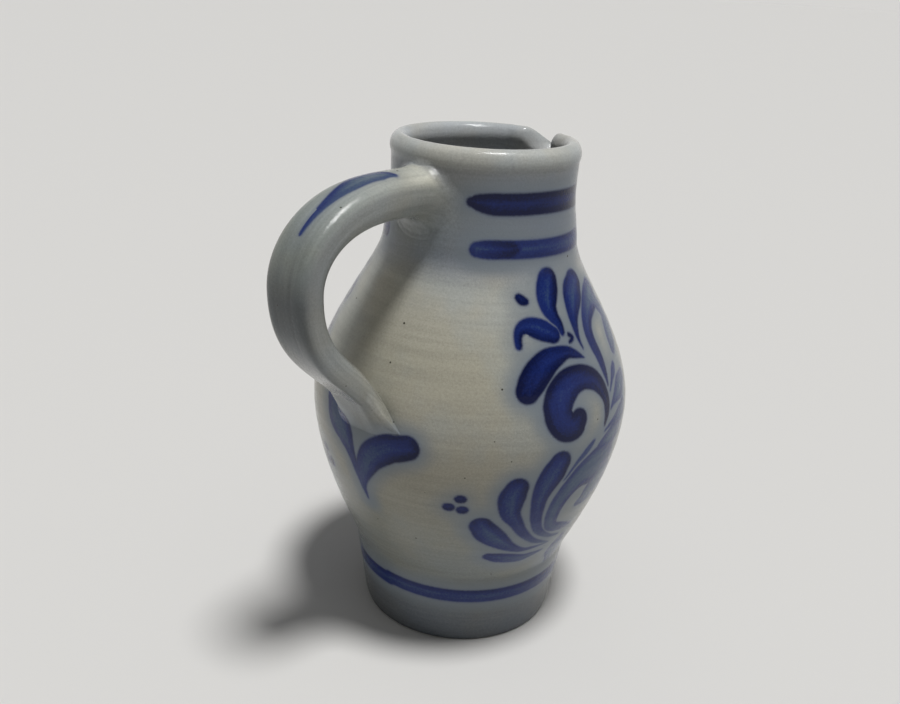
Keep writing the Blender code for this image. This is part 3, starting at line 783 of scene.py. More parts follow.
def ring_skin(rings: int, sides: int, surface: Any) -> bpy.types.Mesh:
    """Closed skin over a surface that goes round in rings, with both ends shut.

    Args:
        rings: Number of steps from one end to the other.
        sides: Number of steps round.
        surface: Function of shares along (rows) and round (columns) that gives the points.

    Returns:
        The mesh, with its faces pointing out.
    """
    sheet = bmesh.new()
    bmesh.ops.create_grid(sheet, x_segments=rings, y_segments=sides, size=0.5)
    shares = np.array([vertex.co[:2] for vertex in sheet.verts]) + 0.5
    for vertex, point in zip(sheet.verts, surface(shares[:, 0], shares[:, 1])):
        vertex.co = point
    bmesh.ops.remove_doubles(sheet, verts=sheet.verts[:], dist=MERGE_DISTANCE)
    rims = [edge for edge in sheet.edges if edge.is_boundary]
    ends = bmesh.ops.edgeloop_fill(sheet, edges=rims)["faces"]
    bmesh.ops.poke(sheet, faces=ends)
    bmesh.ops.recalc_face_normals(sheet, faces=sheet.faces[:])
    return released(sheet, "skin")


def piece_of(mesh: bpy.types.Mesh, name: str, node: str, clay: Clay) -> bpy.types.Object:
    """Make a mesh a smooth piece of the jug that stands for one solid.

    Args:
        mesh: The finished mesh.
        name: Name of the piece.
        node: Name of the solid that it replaces.
        clay: Not used.

    Returns:
        The new object.
    """
    mesh.name = name
    mesh.shade_smooth()
    piece = bpy.data.objects.new(name, mesh)
    bpy.context.scene.collection.objects.link(piece)
    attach(piece, "root")
    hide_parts(node)
    return piece


@dataclass(frozen=True)
class ShadePatch:
    """Painted shade round one place, up to a height."""

    place: tuple[float, float, float]
    core: float
    fade: float
    top: float
    colour: Colour

    def share(self, places: np.ndarray) -> np.ndarray:
        """Share of the patch's colour at each point, as a column."""
        apart = np.linalg.norm(places - self.place, axis=1)
        under = smooth_rise((self.top - places[:, 2]) / self.core)
        return (smooth_rise(1 - (apart - self.core) / self.fade) * under)[:, None]


@dataclass(frozen=True)
class ClayColoursAndPaintedLight:
    """Colours of the bare clay after the salt firing, by height in millimetres and by length, with painted
    light and shade laid into some of them.
    """

    # The clay's own flashing, with painted shade darkening it towards the foot and painted sheen brightening
    # the rim's top.
    wall: tuple[tuple[float, Colour], ...] = (
        (0, (0.122, 0.132, 0.146)),
        (22, (0.155, 0.166, 0.174)),
        (34, (0.196, 0.207, 0.196)),
        (60, (0.255, 0.260, 0.236)),
        (100, (0.310, 0.300, 0.260)),
        (140, (0.382, 0.372, 0.318)),
        (166, (0.435, 0.430, 0.388)),
        (178, (0.220, 0.235, 0.272)),
        (200, (0.165, 0.180, 0.226)),
        (211, (0.250, 0.262, 0.275)),
        (215, (0.380, 0.390, 0.380)),
        (220, (0.540, 0.540, 0.510)),
    )
    # Paler deeper inside the mouth: painted light against the shade under the rim.
    inside: tuple[tuple[float, Colour], ...] = (
        (192, (0.900, 0.905, 0.910)),
        (208, (0.800, 0.805, 0.810)),
        (216, (0.500, 0.505, 0.500)),
    )
    # Painted shade on the wall under the handle's root and under its tail.
    painted_shades: tuple[ShadePatch, ...] = (
        ShadePatch((-0.0390, 0.0, 0.2010), 0.0130, 0.0260, 0.2130, (0.215, 0.230, 0.230)),
        ShadePatch((-0.0720, -0.0060, 0.1080), 0.0070, 0.0150, 0.1350, (0.145, 0.158, 0.155)),
    )
    # The outer face: cream near the root, dark along its middle; the dark is partly painted shade where the
    # face turns from the lamp, partly the clay's flashing.
    strap_face: tuple[tuple[float, Colour], ...] = (
        (0, (0.590, 0.585, 0.520)),
        (15, (0.480, 0.480, 0.430)),
        (45, (0.370, 0.380, 0.340)),
        (66, (0.205, 0.222, 0.208)),
        (80, (0.070, 0.080, 0.086)),
        (90, (0.060, 0.070, 0.076)),
        (105, (0.150, 0.160, 0.162)),
        (142, (0.165, 0.175, 0.170)),
    )
    # Darker at the root: partly painted shade under the handle's root.
    strap_flank: tuple[tuple[float, Colour], ...] = (
        (0, (0.225, 0.235, 0.222)),
        (35, (0.300, 0.308, 0.295)),
        (80, (0.220, 0.226, 0.220)),
        (105, (0.305, 0.310, 0.295)),
        (142, (0.320, 0.320, 0.295)),
    )
    inside_facing: float = -0.75
    face_start: float = 0.35
    face_fade: float = 0.5

    def outside(self, places: np.ndarray) -> np.ndarray:
        """Colours of points of the outside, by height, with painted shade where the handle was luted on."""
        colours = blended(self.wall, places[:, 2] / MM)
        # Lay the painted shade over the clay's colour.
        for patch in self.painted_shades:
            share = patch.share(places)
            colours = (1 - share) * colours + share * np.array(patch.colour)
        return colours

    def on_wall(self, places: np.ndarray, squares: np.ndarray) -> np.ndarray:
        """Colours of points of the body, outside and inside; the inside has painted light deep down."""
        outwards = (places[:, :2] * squares[:, :2]).sum(1) / np.maximum(np.hypot(*places[:, :2].T), TINY)
        share = smooth_rise(outwards - self.inside_facing)[:, None]
        return share * self.outside(places) + (1 - share) * blended(self.inside, places[:, 2] / MM)

    def on_strap(self, run: np.ndarray, side: np.ndarray) -> np.ndarray:
        """Colours of points of the strap, by length and face, with painted shade on the outer face and at the
        root.
        """
        share = smooth_rise((np.sin(side) - self.face_start) / self.face_fade)[:, None]
        return share * blended(self.strap_face, run / MM) + (1 - share) * blended(self.strap_flank, run / MM)


@dataclass(frozen=True)
class ThrownBody:
    """Foot, belly, neck, rim and pouring lip, turned in one piece and then pulled."""

    form: ThrownForm
    colours: ClayColoursAndPaintedLight
    round_steps: int = 320
    row_step: float = 0.00135
    inner_row_step: float = 0.0050
    bead_rows: int = 18
    corner_rows: int = 5
    ring_depth: float = 0.00003
    ring_pitch: float = 0.0074
    inner_ring_depth: float = 0.00030
    beat_share: float = 0.6
    beat_rate: float = 0.37
    beat_swing: float = 2.0
    plain_foot: float = 0.0040
    foot_fade: float = 0.0100
    plain_rim: float = 0.2120
    rim_fade: float = 0.0060
    wander: float = 0.00025
    wander_twist: float = 25.0
    wander_inset: float = 0.75
    joint_turn: float = math.radians(40.0)

    def section(self) -> np.ndarray:
        """Half section from the base's middle round to the floor's middle, as radius and height."""
        form = self.form
        quarter = np.linspace(0.0, np.pi / 2, self.corner_rows)
        edge = form.foot_edge_radius
        foot = np.stack((form.foot_radius - edge * (1 - np.sin(quarter)), edge * (1 - np.cos(quarter))), -1)
        tuck = form.bead(np.array((-form.bead_tuck,)))[0]
        trace = form.outside[(form.outside[:, 1] > edge) & (form.outside[:, 1] < tuck[1])]
        span = np.linspace(-form.bead_tuck, np.pi + form.bead_tuck, self.bead_rows)
        inner_low = form.floor + form.floor_corner_radius
        inner = trace[trace[:, 1] > inner_low][::-1] - (form.wall, 0.0)
        corner = np.array((form.radius(inner_low) - form.wall - form.floor_corner_radius, inner_low))
        turn = np.stack((np.cos(quarter), -np.sin(quarter)), -1) * form.floor_corner_radius
        below = form.bead(np.array((np.pi + form.bead_tuck,)))[0]
        inner = inner[inner[:, 1] < below[1] - self.inner_row_step / 2]
        return np.concatenate((((0.0, 0.0),), foot, self.spaced(trace, self.row_step), form.bead(span),
                               self.spaced(inner, self.inner_row_step), corner + turn, ((0.0, form.floor),)))

    @staticmethod
    def spaced(trace: np.ndarray, step: float) -> np.ndarray:
        """Points along a fine trace, about a step apart and clear of both ends."""
        runs = np.concatenate(((0.0,), np.cumsum(np.linalg.norm(np.diff(trace, axis=0), axis=1))))
        marks = np.linspace(0.0, runs[-1], round(runs[-1] / step) + 1)[1:-1]
        return np.stack([np.interp(marks, runs, trace[:, k]) for k in range(2)], -1)

    def turned(self) -> bpy.types.Mesh:
        """The section, spun once round."""
        lathe = bmesh.new()
        edge = [lathe.verts.new((r, 0.0, z)) for r, z in self.section()]
        profile = edge + [lathe.edges.new(pair) for pair in zip(edge, edge[1:])]
        bmesh.ops.spin(lathe, geom=profile, cent=(0, 0, 0), axis=(0, 0, 1), angle=math.tau,
                       steps=self.round_steps, use_merge=True, use_duplicate=False)
        bmesh.ops.remove_doubles(lathe, verts=lathe.verts[:], dist=MERGE_DISTANCE)
        bmesh.ops.recalc_face_normals(lathe, faces=lathe.faces[:])
        return released(lathe, "turned")

    def handled(self, mesh: bpy.types.Mesh) -> None:
        """Leave the marks of the potter's hands: throwing rings, a slight wander inwards, the pulled lip."""
        places = read_vectors(mesh.vertices, "co")
        squares = read_vectors(mesh.vertices, "normal")
        turn = np.arctan2(places[:, 1], places[:, 0])
        height = places[:, 2]
        outwards = (places[:, :2] * squares[:, :2]).sum(1) > 0
        climb = math.tau * height / self.ring_pitch + turn
        depth = np.where(outwards, self.ring_depth, self.inner_ring_depth)
        upright = (smooth_rise((height - self.plain_foot) / self.foot_fade)
                   * smooth_rise((self.plain_rim - height) / self.rim_fade))
        beat = self.beat_share * np.sin(self.beat_rate * climb + self.beat_swing * np.sin(turn))
        ripple = depth * upright * (np.sin(climb) + beat)
        clear = smooth_rise((math.pi - np.abs(turn) - self.joint_turn) / self.joint_turn)
        wave = np.sin(2 * turn + self.wander_twist * height) / 2 - self.wander_inset
        sway = self.wander * upright * clear * wave
        places += squares * ripple[:, None]
        places[:, :2] *= (1 + sway / self.form.belly_radius)[:, None]
        mesh.vertices.foreach_set("co", self.form.pulled(places).astype(np.float32).ravel())
        mesh.update()

    def build(self, brushwork: Brushwork) -> tuple[bpy.types.Object, int]:
        """Turn, mark and paint the body.

        Args:
            brushwork: The decoration.

        Returns:
            The piece, and its number of paint layers.
        """
        mesh = self.turned()
        self.handled(mesh)
        places = read_vectors(mesh.vertices, "co")
        squares = read_vectors(mesh.vertices, "normal")
        grain = places * (GRAIN_STRETCH, GRAIN_STRETCH, 1.0)
        write_clay(mesh, self.colours.on_wall(places, squares), grain)
        layers = brushwork.paint(mesh, brushwork.body_strokes())
        return piece_of(mesh, "jug_body", "thrown_body", Clay.BODY), layers


@dataclass(frozen=True)
class StrapHandle:
    """The pulled strap, run a little way into the wall at both ends."""

    form: StrapForm
    colours: ClayColoursAndPaintedLight
    rings: int = 200
    sides: int = 96
    landing_steps: int = 720
    sink: float = 0.0025

    def build(self, brushwork: Brushwork) -> tuple[bpy.types.Object, int]:
        """Draw out and paint the strap.

        Args:
            brushwork: The decoration.

        Returns:
            The piece, and its number of paint layers.
        """
        form = self.form
        corners = np.linspace(0.0, math.tau, self.landing_steps + 1)
        clear = form.grip_standoff / 2
        sunk = form.length + 2 * form.tail_thickness
        starts = form.landing(corners, -self.sink, -form.root_thickness, clear)
        stops = form.landing(corners, -self.sink, sunk, form.length - clear)

        def skin(share: np.ndarray, round_share: np.ndarray) -> np.ndarray:
            """Points at shares along and round the strap."""
            side = round_share * math.tau
            start = np.interp(side, corners, starts)
            stop = np.interp(side, corners, stops)
            return form.surface(start + share * (stop - start), side)

        mesh = ring_skin(self.rings, self.sides, skin)
        places = read_vectors(mesh.vertices, "co")
        run, side, through = form.measured(places)
        grain = np.stack((places[:, 1], through, run * GRAIN_STRETCH), -1)
        write_clay(mesh, self.colours.on_strap(run, side), grain)
        layers = brushwork.paint(mesh, brushwork.joint_strokes())
        return piece_of(mesh, "jug_handle", "strap_handle", Clay.HANDLE), layers


@dataclass(frozen=True)
class Reach:
    """How far the luting clay goes on each face of the strap."""

    inner: float
    flank: float
    fan: float
    outer: float

    def at(self, side: np.ndarray, fan_turn: float) -> np.ndarray:
        """Reach at each side, eased from one face to the next."""
        tilt = np.arcsin(np.clip(np.sin(side), -1.0, 1.0))
        stations = ((-math.pi / 2, self.inner), (0.0, self.flank),
                    (fan_turn, self.fan), (math.pi / 2, self.outer))
        reach = np.full_like(tilt, self.inner)
        for (low, before), (high, after) in zip(stations, stations[1:]):
            eased = before + (after - before) * smooth_rise((tilt - low) / (high - low))
            reach = np.where(tilt > low, eased, reach)
        return reach


@dataclass(frozen=True)
class Rib:
    """A ridge drawn out by the thumb on the strap's -Y side, ending in a point on the wall.

    The strap's flank narrows down to the point.  The ridge falls off steeply towards the strap's
    inner face and gently towards the outer one.
    """

    tip_turn: float
    tip_height: float
    crest: float
    half_flank: float
    inner_width: float
    outer_width: float
    crest_width: float
    lift: float

    def away(self, side: np.ndarray) -> np.ndarray:
        """Angle of each side from the crest, towards the outer face; far off on the +Y half."""
        tilt = np.arcsin(np.clip(np.sin(side), -1.0, 1.0))
        return np.where(np.cos(side) < 0, tilt - self.crest, math.pi)

    def share(self, side: np.ndarray) -> np.ndarray:
        """Share by which each side is drawn to the point."""
        away = self.away(side)
        beyond = np.maximum(np.abs(away) - self.half_flank, 0.0)
        return np.exp(-(beyond / np.where(away < 0, self.inner_width, self.outer_width)) ** 2)

    def rise(self, side: np.ndarray) -> np.ndarray:
        """Height of the ridge at each side."""
        return self.lift * np.exp(-(self.away(side) / self.crest_width) ** 2)


@dataclass(frozen=True)
class Crease:
    """A groove pressed along the fillet, or a bead pushed up if its depth is negative."""

    place: float
    width: float
    depth: float
    side: float
    span: float

    def cut(self, share: np.ndarray, side: np.ndarray) -> np.ndarray:
        """Depth of the crease at places across the fillet and angles round the strap."""
        away = np.angle(np.exp(1j * (side - self.side)))
        return self.depth * hump(share - self.place, self.width) * hump(away, self.span)


@dataclass(frozen=True)
class LutedJoint:
    """Soft clay smoothed into a fillet round one end of the strap."""

    name: str
    node: str
    strap: StrapForm
    colours: ClayColoursAndPaintedLight
    inside: float
    outside: float
    upwards: float
    spread: Reach
    climb: Reach
    rib: Rib | None = None
    creases: tuple[Crease, ...] = ()
    softness: float = 0.0
    fan_turn: float = math.radians(28.0)
    sink: float = 0.00015
    colour_run: float = 0.0060
    rings: int = 48
    sides: int = 288

    def fillet(self, share: np.ndarray, side: np.ndarray) -> np.ndarray:
        """Points of the fillet, from the wall at share 0 up on to the strap at share 1.

        The curve across it is drawn on the wall rolled flat, so that it runs out along the wall.

        Args:
            share: Places across the fillet.
            side: Angles round the strap.

        Returns:
            Rows of points.
        """
        wall = self.strap.wall
        run = self.strap.landing(side, 0.0, self.inside, self.outside)
        corner = wall.unrolled(self.strap.surface(run, side))
        spread = self.spread.at(side, self.fan_turn)
        height = corner[:, 1] + self.upwards * spread * np.sin(side)
        turn = corner[:, 0] - spread * np.cos(side) / wall.radius(height)
        low = np.stack((turn, height, np.full_like(side, -self.sink)), -1)
        if self.rib:
            ridge = self.rib.share(side)
            low[:, 0] += ridge * (self.rib.tip_turn - turn)
            low[:, 1] += ridge * (self.rib.tip_height - height)
            corner[:, 2] += self.rib.rise(side)
        climb = np.copysign(self.climb.at(side, self.fan_turn), self.outside - self.inside)
        high = wall.unrolled(self.strap.surface(run + climb, side, -self.sink))
        t = share[:, None]
        turn, height, offset = (low * (1 - t) ** 2 + corner * 2 * t * (1 - t) + high * t * t).T
        offset = offset * np.where(offset > 0, share ** self.softness, 1.0)
        for crease in self.creases:
            offset = offset - crease.cut(share, side)
        return wall.surface(turn, height, offset)[0]

    def build(self, brushwork: Brushwork) -> tuple[bpy.types.Object, int]:
        """Model and paint the joint.

        Args:
            brushwork: The decoration.

        Returns:
            The piece, and its number of paint layers.
        """
        mesh = ring_skin(self.rings, self.sides, lambda share, around: self.fillet(share, around * math.tau))
        places = read_vectors(mesh.vertices, "co")
        run, side, through = self.strap.measured(places)
        off_wall = smooth_rise(self.strap.wall.gap(places) / self.colour_run)[:, None]
        colours = off_wall * self.colours.on_strap(run, side) + (1 - off_wall) * self.colours.outside(places)
        write_clay(mesh, colours, np.stack((places[:, 1], through, run * GRAIN_STRETCH), -1))
        layers = brushwork.paint(mesh, brushwork.joint_strokes())
        return piece_of(mesh, self.name, self.node, Clay.JOINT), layers


class Signal:
    """A shader value that takes part in Python sums; each operator adds one Math node."""

    def __init__(self, board: "Board", socket: bpy.types.NodeSocket) -> None:
        """Wrap an output socket of a board."""
        self.board = board
        self.socket = socket

    def sum(self, operation: str, *terms: Any) -> "Signal":
        """Add one Math node over the terms."""
        return self.board.out("ShaderNodeMath", {"operation": operation}, dict(enumerate(terms)))

    def __add__(self, other: Any) -> "Signal":
        """Sum with another term on either side."""
        return self.sum("ADD", self, other)

    __radd__ = __add__

    def __sub__(self, other: Any) -> "Signal":
        """Difference from another term."""
        return self.sum("SUBTRACT", self, other)

    def __rsub__(self, other: Any) -> "Signal":
        """Difference from a number on the left."""
        return self.sum("SUBTRACT", other, self)

    def __mul__(self, other: Any) -> "Signal":
        """Product with another term on either side."""
        return self.sum("MULTIPLY", self, other)

    __rmul__ = __mul__

    def __abs__(self) -> "Signal":
        """Size without its sign."""
        return self.sum("ABSOLUTE", self)

    def over(self, other: Any) -> "Signal":
        """The larger of two terms."""
        return self.sum("MAXIMUM", self, other)

    def eased(self, low: float, high: float) -> "Signal":
        """Smooth step from nought at one value to one at another."""
        return self.board.out("ShaderNodeMapRange", {"interpolation_type": "SMOOTHSTEP"},
                              {"Value": self, "From Min": low, "From Max": high})


class Board:
    """Node tree of one material, with short ways to add to it."""

    def __init__(self, tree: bpy.types.NodeTree) -> None:
        """Start on an existing tree."""
        self.tree = tree

    def node(self, kind: str, settings: dict[str, Any] | None = None,
             sockets: dict[Any, Any] | None = None) -> bpy.types.Node:
        """Add a node.

        Args:
            kind: Blender's node type.
            settings: Properties of the node, set first; stops fills a ramp.
            sockets: Values or signals by the input's name or number.

        Returns:
            The new node.
        """
        node = self.tree.nodes.new(kind)
        for name, value in (settings or {}).items():
            if name == "stops":
                self.fill_ramp(node.color_ramp, value)
            else:
                setattr(node, name, value)
        for name, value in (sockets or {}).items():
            if isinstance(value, Signal):
                self.tree.links.new(value.socket, node.inputs[name])
            else:
                node.inputs[name].default_value = value
        return node

    @staticmethod
    def fill_ramp(ramp: bpy.types.ColorRamp, stops: Sequence[tuple[float, Colour]]) -> None:
        """Give a ramp its stops."""
        while len(ramp.elements) < len(stops):
            ramp.elements.new(0.5)
        for element, (place, colour) in zip(ramp.elements, stops):
            element.position = place
            element.color = (*colour, 1.0)

    def out(self, kind: str, settings: dict[str, Any] | None = None, sockets: dict[Any, Any] | None = None,
            output: Any = 0) -> Signal:
        """Add a node and take one of its outputs."""
        return Signal(self, self.node(kind, settings, sockets).outputs[output])

    def attribute(self, name: str, output: str = "Vector") -> Signal:
        """Read an attribute of the piece."""
        return self.out("ShaderNodeAttribute", {"attribute_name": name}, None, output)

    def parts(self, vector: Signal) -> tuple[Signal, Signal, Signal]:
        """The three numbers of a vector."""
        node = self.node("ShaderNodeSeparateXYZ", None, {0: vector})
        return tuple(Signal(self, output) for output in node.outputs)

    def noise(self, vector: Signal, kind: Noise) -> Signal:
        """Soft noise between nought and one, by its scale, detail and roughness."""
        scale, detail, roughness = kind
        return self.out("ShaderNodeTexNoise", None,
                        {"Vector": vector, "Scale": scale, "Detail": detail, "Roughness": roughness})

    def mixed(self, share: Any, first: Any, second: Any, blend: str = "MIX") -> Signal:
        """Mix two colours by a share."""
        first, second = ((*c, 1.0) if isinstance(c, tuple) else c for c in (first, second))
        return self.out("ShaderNodeMix", {"data_type": "RGBA", "blend_type": blend},
                        {0: share, 6: first, 7: second}, 2)


@dataclass(frozen=True)
class SaltGlaze:
    """Orange-peel salt glaze over grey clay, with cobalt under it.

    A span holds the two values between which something sets in.  On the brushwork they are
    distances inwards from a stroke's edge, in millimetres.
    """

    streaks: float = 0.30
    relief: float = 0.30
    roughness: float = 0.12
    shine: float = 0.22
    relief_depth: float = 0.0005
    streak_noise: Noise = (0.55, 3.0, 0.6)
    peel_noise: Noise = (900.0, 2.0, 0.6)
    grit_noise: Noise = (1100.0, 4.0, 0.75)
    cloud_noise: Noise = (28.0, 3.0, 0.55)
    drag_noise: Noise = (1.0, 2.0, 0.5)
    cloud_span: Span = (0.35, 0.65)
    grit_shade: float = 0.6
    streak_roughness: float = 0.16
    peel_roughness: float = 0.10
    peel_height: float = 0.5
    grit_height: float = 0.5
    streak_height: float = 0.35
    peel_fray: float = 0.35
    grit_fray: float = 0.25
    edge_span: Span = (-0.75, 0.6)
    bristle_length: float = 0.05
    bristle_width: float = 0.45
    drag_depth: float = 0.35
    grit_depth: float = 0.6
    edge_pool: float = 0.16
    middle_drain: float = 0.36
    drain_span: Span = (0.3, 5.5)
    thin_cover: float = 0.78
    thin_span: Span = (0.0, 0.65)
    bleed_share: float = 0.3
    bleed_span: Span = (-1.8, 0.2)
    speck_scale: float = 150.0
    speck_least: float = 0.035
    speck_spread: float = 0.055
    speck_edge: Span = (0.0, 0.025)
    speck_chance: Span = (0.58, 0.6)
    speck_cover: float = 0.92
    warm: Colour = (1.02, 1.0, 0.94)
    cool: Colour = (0.95, 0.99, 1.03)
    halo: Colour = (0.190, 0.220, 0.248)
    bleed: Colour = (0.090, 0.120, 0.240)
    iron: Colour = (0.030, 0.024, 0.018)
    wash: tuple[tuple[float, Colour], ...] = (
        (0.0, (0.130, 0.176, 0.208)),
        (0.35, (0.041, 0.076, 0.155)),
        (0.62, (0.011, 0.024, 0.138)),
        (1.0, (0.004, 0.007, 0.042)),
    )

    def dress(self, piece: bpy.types.Object, layers: int) -> None:
        """Give a piece this finish.

        Args:
            piece: The piece, with its attributes written.
            layers: Number of paint layers on it.
        """
        material = bpy.data.materials.new(f"salt_glaze_{piece.name}")
        material.use_nodes = True
        tree = material.node_tree
        board = Board(tree)
        place = board.out("ShaderNodeTexCoord", None, None, "Object")
        streak = board.noise(board.attribute("grain"), self.streak_noise)
        peel = board.noise(place, self.peel_noise)
        grit = board.noise(place, self.grit_noise)
        cover, depth = self.cobalt(board, layers, peel, grit)
        shade = 1.0 + (streak - 0.5) * self.streaks + (grit - 0.5) * self.grit_shade
        bare = self.bare_clay(board, place, shade)
        ink = board.out("ShaderNodeValToRGB", {"stops": self.wash}, {0: depth})
        shader = tree.nodes["Principled BSDF"]
        tree.links.new(board.mixed(cover, bare, ink).socket, shader.inputs["Base Color"])
        rough = self.roughness + (streak - 0.5) * self.streak_roughness + (peel - 0.5) * self.peel_roughness
        tree.links.new(rough.socket, shader.inputs["Roughness"])
        height = peel * self.peel_height + grit * self.grit_height + streak * self.streak_height
        bump = board.out("ShaderNodeBump", None,
                         {"Strength": self.relief, "Distance": self.relief_depth, "Height": height})
        tree.links.new(bump.socket, shader.inputs["Normal"])
        shader.inputs["Specular IOR Level"].default_value = self.shine
        piece.data.materials.append(material)

    def cobalt(self, board: Board, layers: int, peel: Signal, grit: Signal) -> tuple[Signal, Signal]:
        """Where the cobalt lies and how thick.

        Args:
            board: The material's board.
            layers: Number of paint layers.
            peel: Noise of the glaze's peel.
            grit: Finer noise.

        Returns:
            Cover from nought to one, and depth of colour.
        """
        edges = []
        for number in range(layers):
            aside, half, _ = board.parts(board.attribute(f"stroke_{number}"))
            edges.append(half - abs(aside))
        edge = reduce(Signal.over, edges)
        ragged = edge + (peel - 0.5) * self.peel_fray + (grit - 0.5) * self.grit_fray
        along, aside, tone = board.parts(board.attribute("brush"))
        top, _, _ = board.parts(board.attribute("rim"))
        bristle = board.out("ShaderNodeCombineXYZ", None,
                            {0: along * self.bristle_length, 1: aside * self.bristle_width})
        drag = board.noise(bristle, self.drag_noise)
        pooled = self.edge_pool - top.eased(*self.drain_span) * self.middle_drain
        depth = tone + pooled + (drag - 0.5) * self.drag_depth + (grit - 0.5) * self.grit_depth
        opacity = self.thin_cover + tone.eased(*self.thin_span) * (1 - self.thin_cover)
        return ragged.eased(*self.edge_span) * opacity, depth

    def bare_clay(self, board: Board, place: Signal, shade: Signal) -> Signal:
        """Colour of the clay where no cobalt lies, with the painted light and shade that the clay attribute
        carries.

        Args:
            board: The material's board.
            place: Object coordinates.
            shade: Factor for its brightness.

        Returns:
            The colour.
        """
        top, halo, _ = board.parts(board.attribute("rim"))
        clay = board.attribute("clay", "Color")
        cloud = board.noise(place, self.cloud_noise).eased(*self.cloud_span)
        cool, warm = (board.mixed(1.0, clay, cast, "MULTIPLY") for cast in (self.cool, self.warm))
        clay = board.mixed(cloud, cool, warm)
        tint = board.out("ShaderNodeCombineColor", None, {0: shade, 1: shade, 2: shade})
        clay = board.mixed(1.0, clay, tint, "MULTIPLY")
        clay = board.mixed(halo, clay, self.halo)
        clay = board.mixed(top.eased(*self.bleed_span) * self.bleed_share, clay, self.bleed)
        cells = board.node("ShaderNodeTexVoronoi", None, {"Vector": place, "Scale": self.speck_scale})
        distance = Signal(board, cells.outputs["Distance"])
        chance, size, _ = board.parts(Signal(board, cells.outputs["Color"]))
        speck = (size * self.speck_spread + self.speck_least - distance).eased(*self.speck_edge)
        return board.mixed(speck * chance.eased(*self.speck_chance) * self.speck_cover, clay, self.iron)


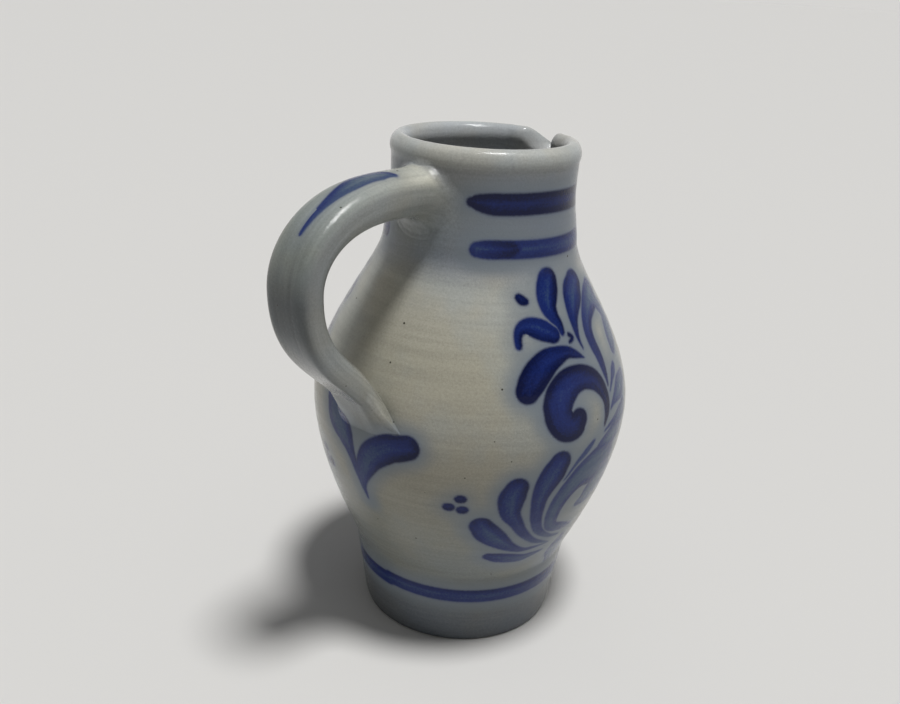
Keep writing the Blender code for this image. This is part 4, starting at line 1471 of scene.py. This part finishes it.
@dataclass(frozen=True)
class Studio:
    """Pale floor, soft lamps and the camera."""

    floor_size: float = 80.0
    floor_colour: Colour = (0.70, 0.69, 0.67)
    floor_roughness: float = 0.8
    eye: tuple[float, float, float] = (-0.31103, -0.24740, 0.27928)
    heading: float = math.radians(39.92)
    pitch: float = math.radians(21.52)
    roll: float = math.radians(3.335)
    lens: float = 37.92
    key_turn: float = math.radians(-95.0)
    key_climb: float = math.radians(77.0)
    key_spread: float = math.radians(13.0)
    key_strength: float = 2.6
    top_spread: float = math.radians(100.0)
    top_strength: float = 0.35
    sky: Colour = (0.96, 0.98, 1.0)
    sky_strength: float = 0.07
    backdrop: Colour = (0.670, 0.661, 0.645)
    backdrop_fade: Span = (0.18, 0.36)

    def camera(self) -> None:
        """Set up the camera at the photograph's viewpoint."""
        lens = bpy.data.cameras.new("camera")
        lens.lens = self.lens
        camera = bpy.data.objects.new("camera", lens)
        camera.matrix_world = (Matrix.Translation(self.eye)
                               @ Matrix.Rotation(self.heading - math.pi / 2, 4, "Z")
                               @ Matrix.Rotation(math.pi / 2 - self.pitch, 4, "X")
                               @ Matrix.Rotation(self.roll, 4, "Z"))
        bpy.context.scene.collection.objects.link(camera)
        bpy.context.scene.camera = camera

    def lamp(self, name: str, turn: float, climb: float, spread: float, strength: float) -> None:
        """Hang one far, soft lamp that lights jug and floor alike.

        Args:
            name: Name of the lamp.
            turn: Direction about +Z from +X.
            climb: Angle above the floor.
            spread: Angle that the lamp fills, seen from the jug.
            strength: Irradiance in watts per square metre.
        """
        light = bpy.data.lights.new(name, "SUN")
        light.angle = spread
        light.energy = strength
        lamp = bpy.data.objects.new(name, light)
        away = Vector((math.cos(turn) * math.cos(climb), math.sin(turn) * math.cos(climb), math.sin(climb)))
        lamp.location = away
        lamp.rotation_euler = away.to_track_quat("Z", "Y").to_euler()
        bpy.context.scene.collection.objects.link(lamp)

    def floor(self) -> None:
        """Lay the floor."""
        sheet = bmesh.new()
        bmesh.ops.create_grid(sheet, x_segments=1, y_segments=1, size=self.floor_size / 2)
        mesh = released(sheet, "floor")
        material = bpy.data.materials.new("paper")
        material.use_nodes = True
        shader = material.node_tree.nodes["Principled BSDF"]
        shader.inputs["Base Color"].default_value = (*self.floor_colour, 1.0)
        shader.inputs["Roughness"].default_value = self.floor_roughness
        mesh.materials.append(material)
        floor = bpy.data.objects.new("floor", mesh)
        bpy.context.scene.collection.objects.link(floor)

    def build(self) -> None:
        """Set up camera, floor, lamps, surroundings and view transform."""
        self.camera()
        self.floor()
        self.lamp("key", self.key_turn, self.key_climb, self.key_spread, self.key_strength)
        self.lamp("top", 0.0, math.pi / 2, self.top_spread, self.top_strength)
        self.surroundings()
        bpy.context.scene.view_settings.view_transform = "Standard"

    def surroundings(self) -> None:
        """Light the room faintly, and show a low pale backdrop wherever it is seen or mirrored."""
        world = bpy.data.worlds.new("sky")
        world.use_nodes = True
        board = Board(world.node_tree)
        path = board.node("ShaderNodeLightPath")
        rays = ("Is Camera Ray", "Is Glossy Ray", "Is Transmission Ray")
        seen = reduce(Signal.over, [Signal(board, path.outputs[ray]) for ray in rays])
        _, _, rise = board.parts(board.out("ShaderNodeTexCoord", None, None, "Generated"))
        seen = seen * (1 - rise.eased(*self.backdrop_fade))
        sky = board.out("ShaderNodeBackground", None,
                        {"Color": (*self.sky, 1.0), "Strength": self.sky_strength})
        pale = board.out("ShaderNodeBackground", None, {"Color": (*self.backdrop, 1.0)})
        mixed = board.out("ShaderNodeMixShader", None, {0: seen, 1: sky, 2: pale})
        world.node_tree.links.new(mixed.socket, world.node_tree.nodes["World Output"].inputs["Surface"])
        bpy.context.scene.world = world


def joints(strap: StrapForm, colours: ClayColoursAndPaintedLight) -> Iterable[LutedJoint]:
    """The luted joints at neck and belly."""
    yield LutedJoint(
        "neck_joint", "neck_lute", strap, colours,
        inside=-strap.root_thickness,
        outside=strap.grip_standoff / 2,
        upwards=1.0,
        spread=Reach(inner=0.0135, flank=0.0090, fan=0.0055, outer=0.0045),
        climb=Reach(inner=0.0110, flank=0.0160, fan=0.0150, outer=0.0130),
        creases=(Crease(0.16, 0.06, 0.0002, math.radians(-90.0), math.radians(80.0)),
                 Crease(0.30, 0.06, 0.00015, math.radians(-90.0), math.radians(80.0)),
                 Crease(0.48, 0.12, -0.0006, math.radians(145.0), math.radians(50.0))),
        softness=0.8,
    )
    yield LutedJoint(
        "belly_joint", "belly_lute", strap, colours,
        inside=strap.length + 2 * strap.tail_thickness,
        outside=strap.length - strap.grip_standoff / 2,
        upwards=-1.0,
        spread=Reach(inner=0.0014, flank=0.0025, fan=0.0050, outer=0.0060),
        climb=Reach(inner=0.0036, flank=0.0150, fan=0.0150, outer=0.0140),
        rib=Rib(tip_turn=math.radians(197.3), tip_height=0.1116, crest=math.radians(4.0),
                half_flank=math.radians(12.0), inner_width=math.radians(45.0), outer_width=math.radians(18.0),
                crest_width=math.radians(30.0), lift=0.0036),
    )


def main() -> None:
    """Build the studio and every piece of the jug."""
    logging.basicConfig(level=logging.INFO, format="%(name)s: %(message)s")
    Studio().build()
    wall = ThrownForm()
    strap = StrapForm(wall)
    colours = ClayColoursAndPaintedLight()
    brushwork = Brushwork(wall, strap)
    handle_glaze = SaltGlaze(streaks=0.55, relief=0.45, roughness=0.10, shine=0.40)
    makers = [(ThrownBody(wall, colours), SaltGlaze()), (StrapHandle(strap, colours), handle_glaze)]
    makers += [(joint, handle_glaze) for joint in joints(strap, colours)]
    for maker, glaze in makers:
        piece, layers = maker.build(brushwork)
        glaze.dress(piece, layers)
        LOG.info("%s: %d faces, %d paint layers", piece.name, len(piece.data.polygons), layers)


if __name__ == "__main__":
    main()
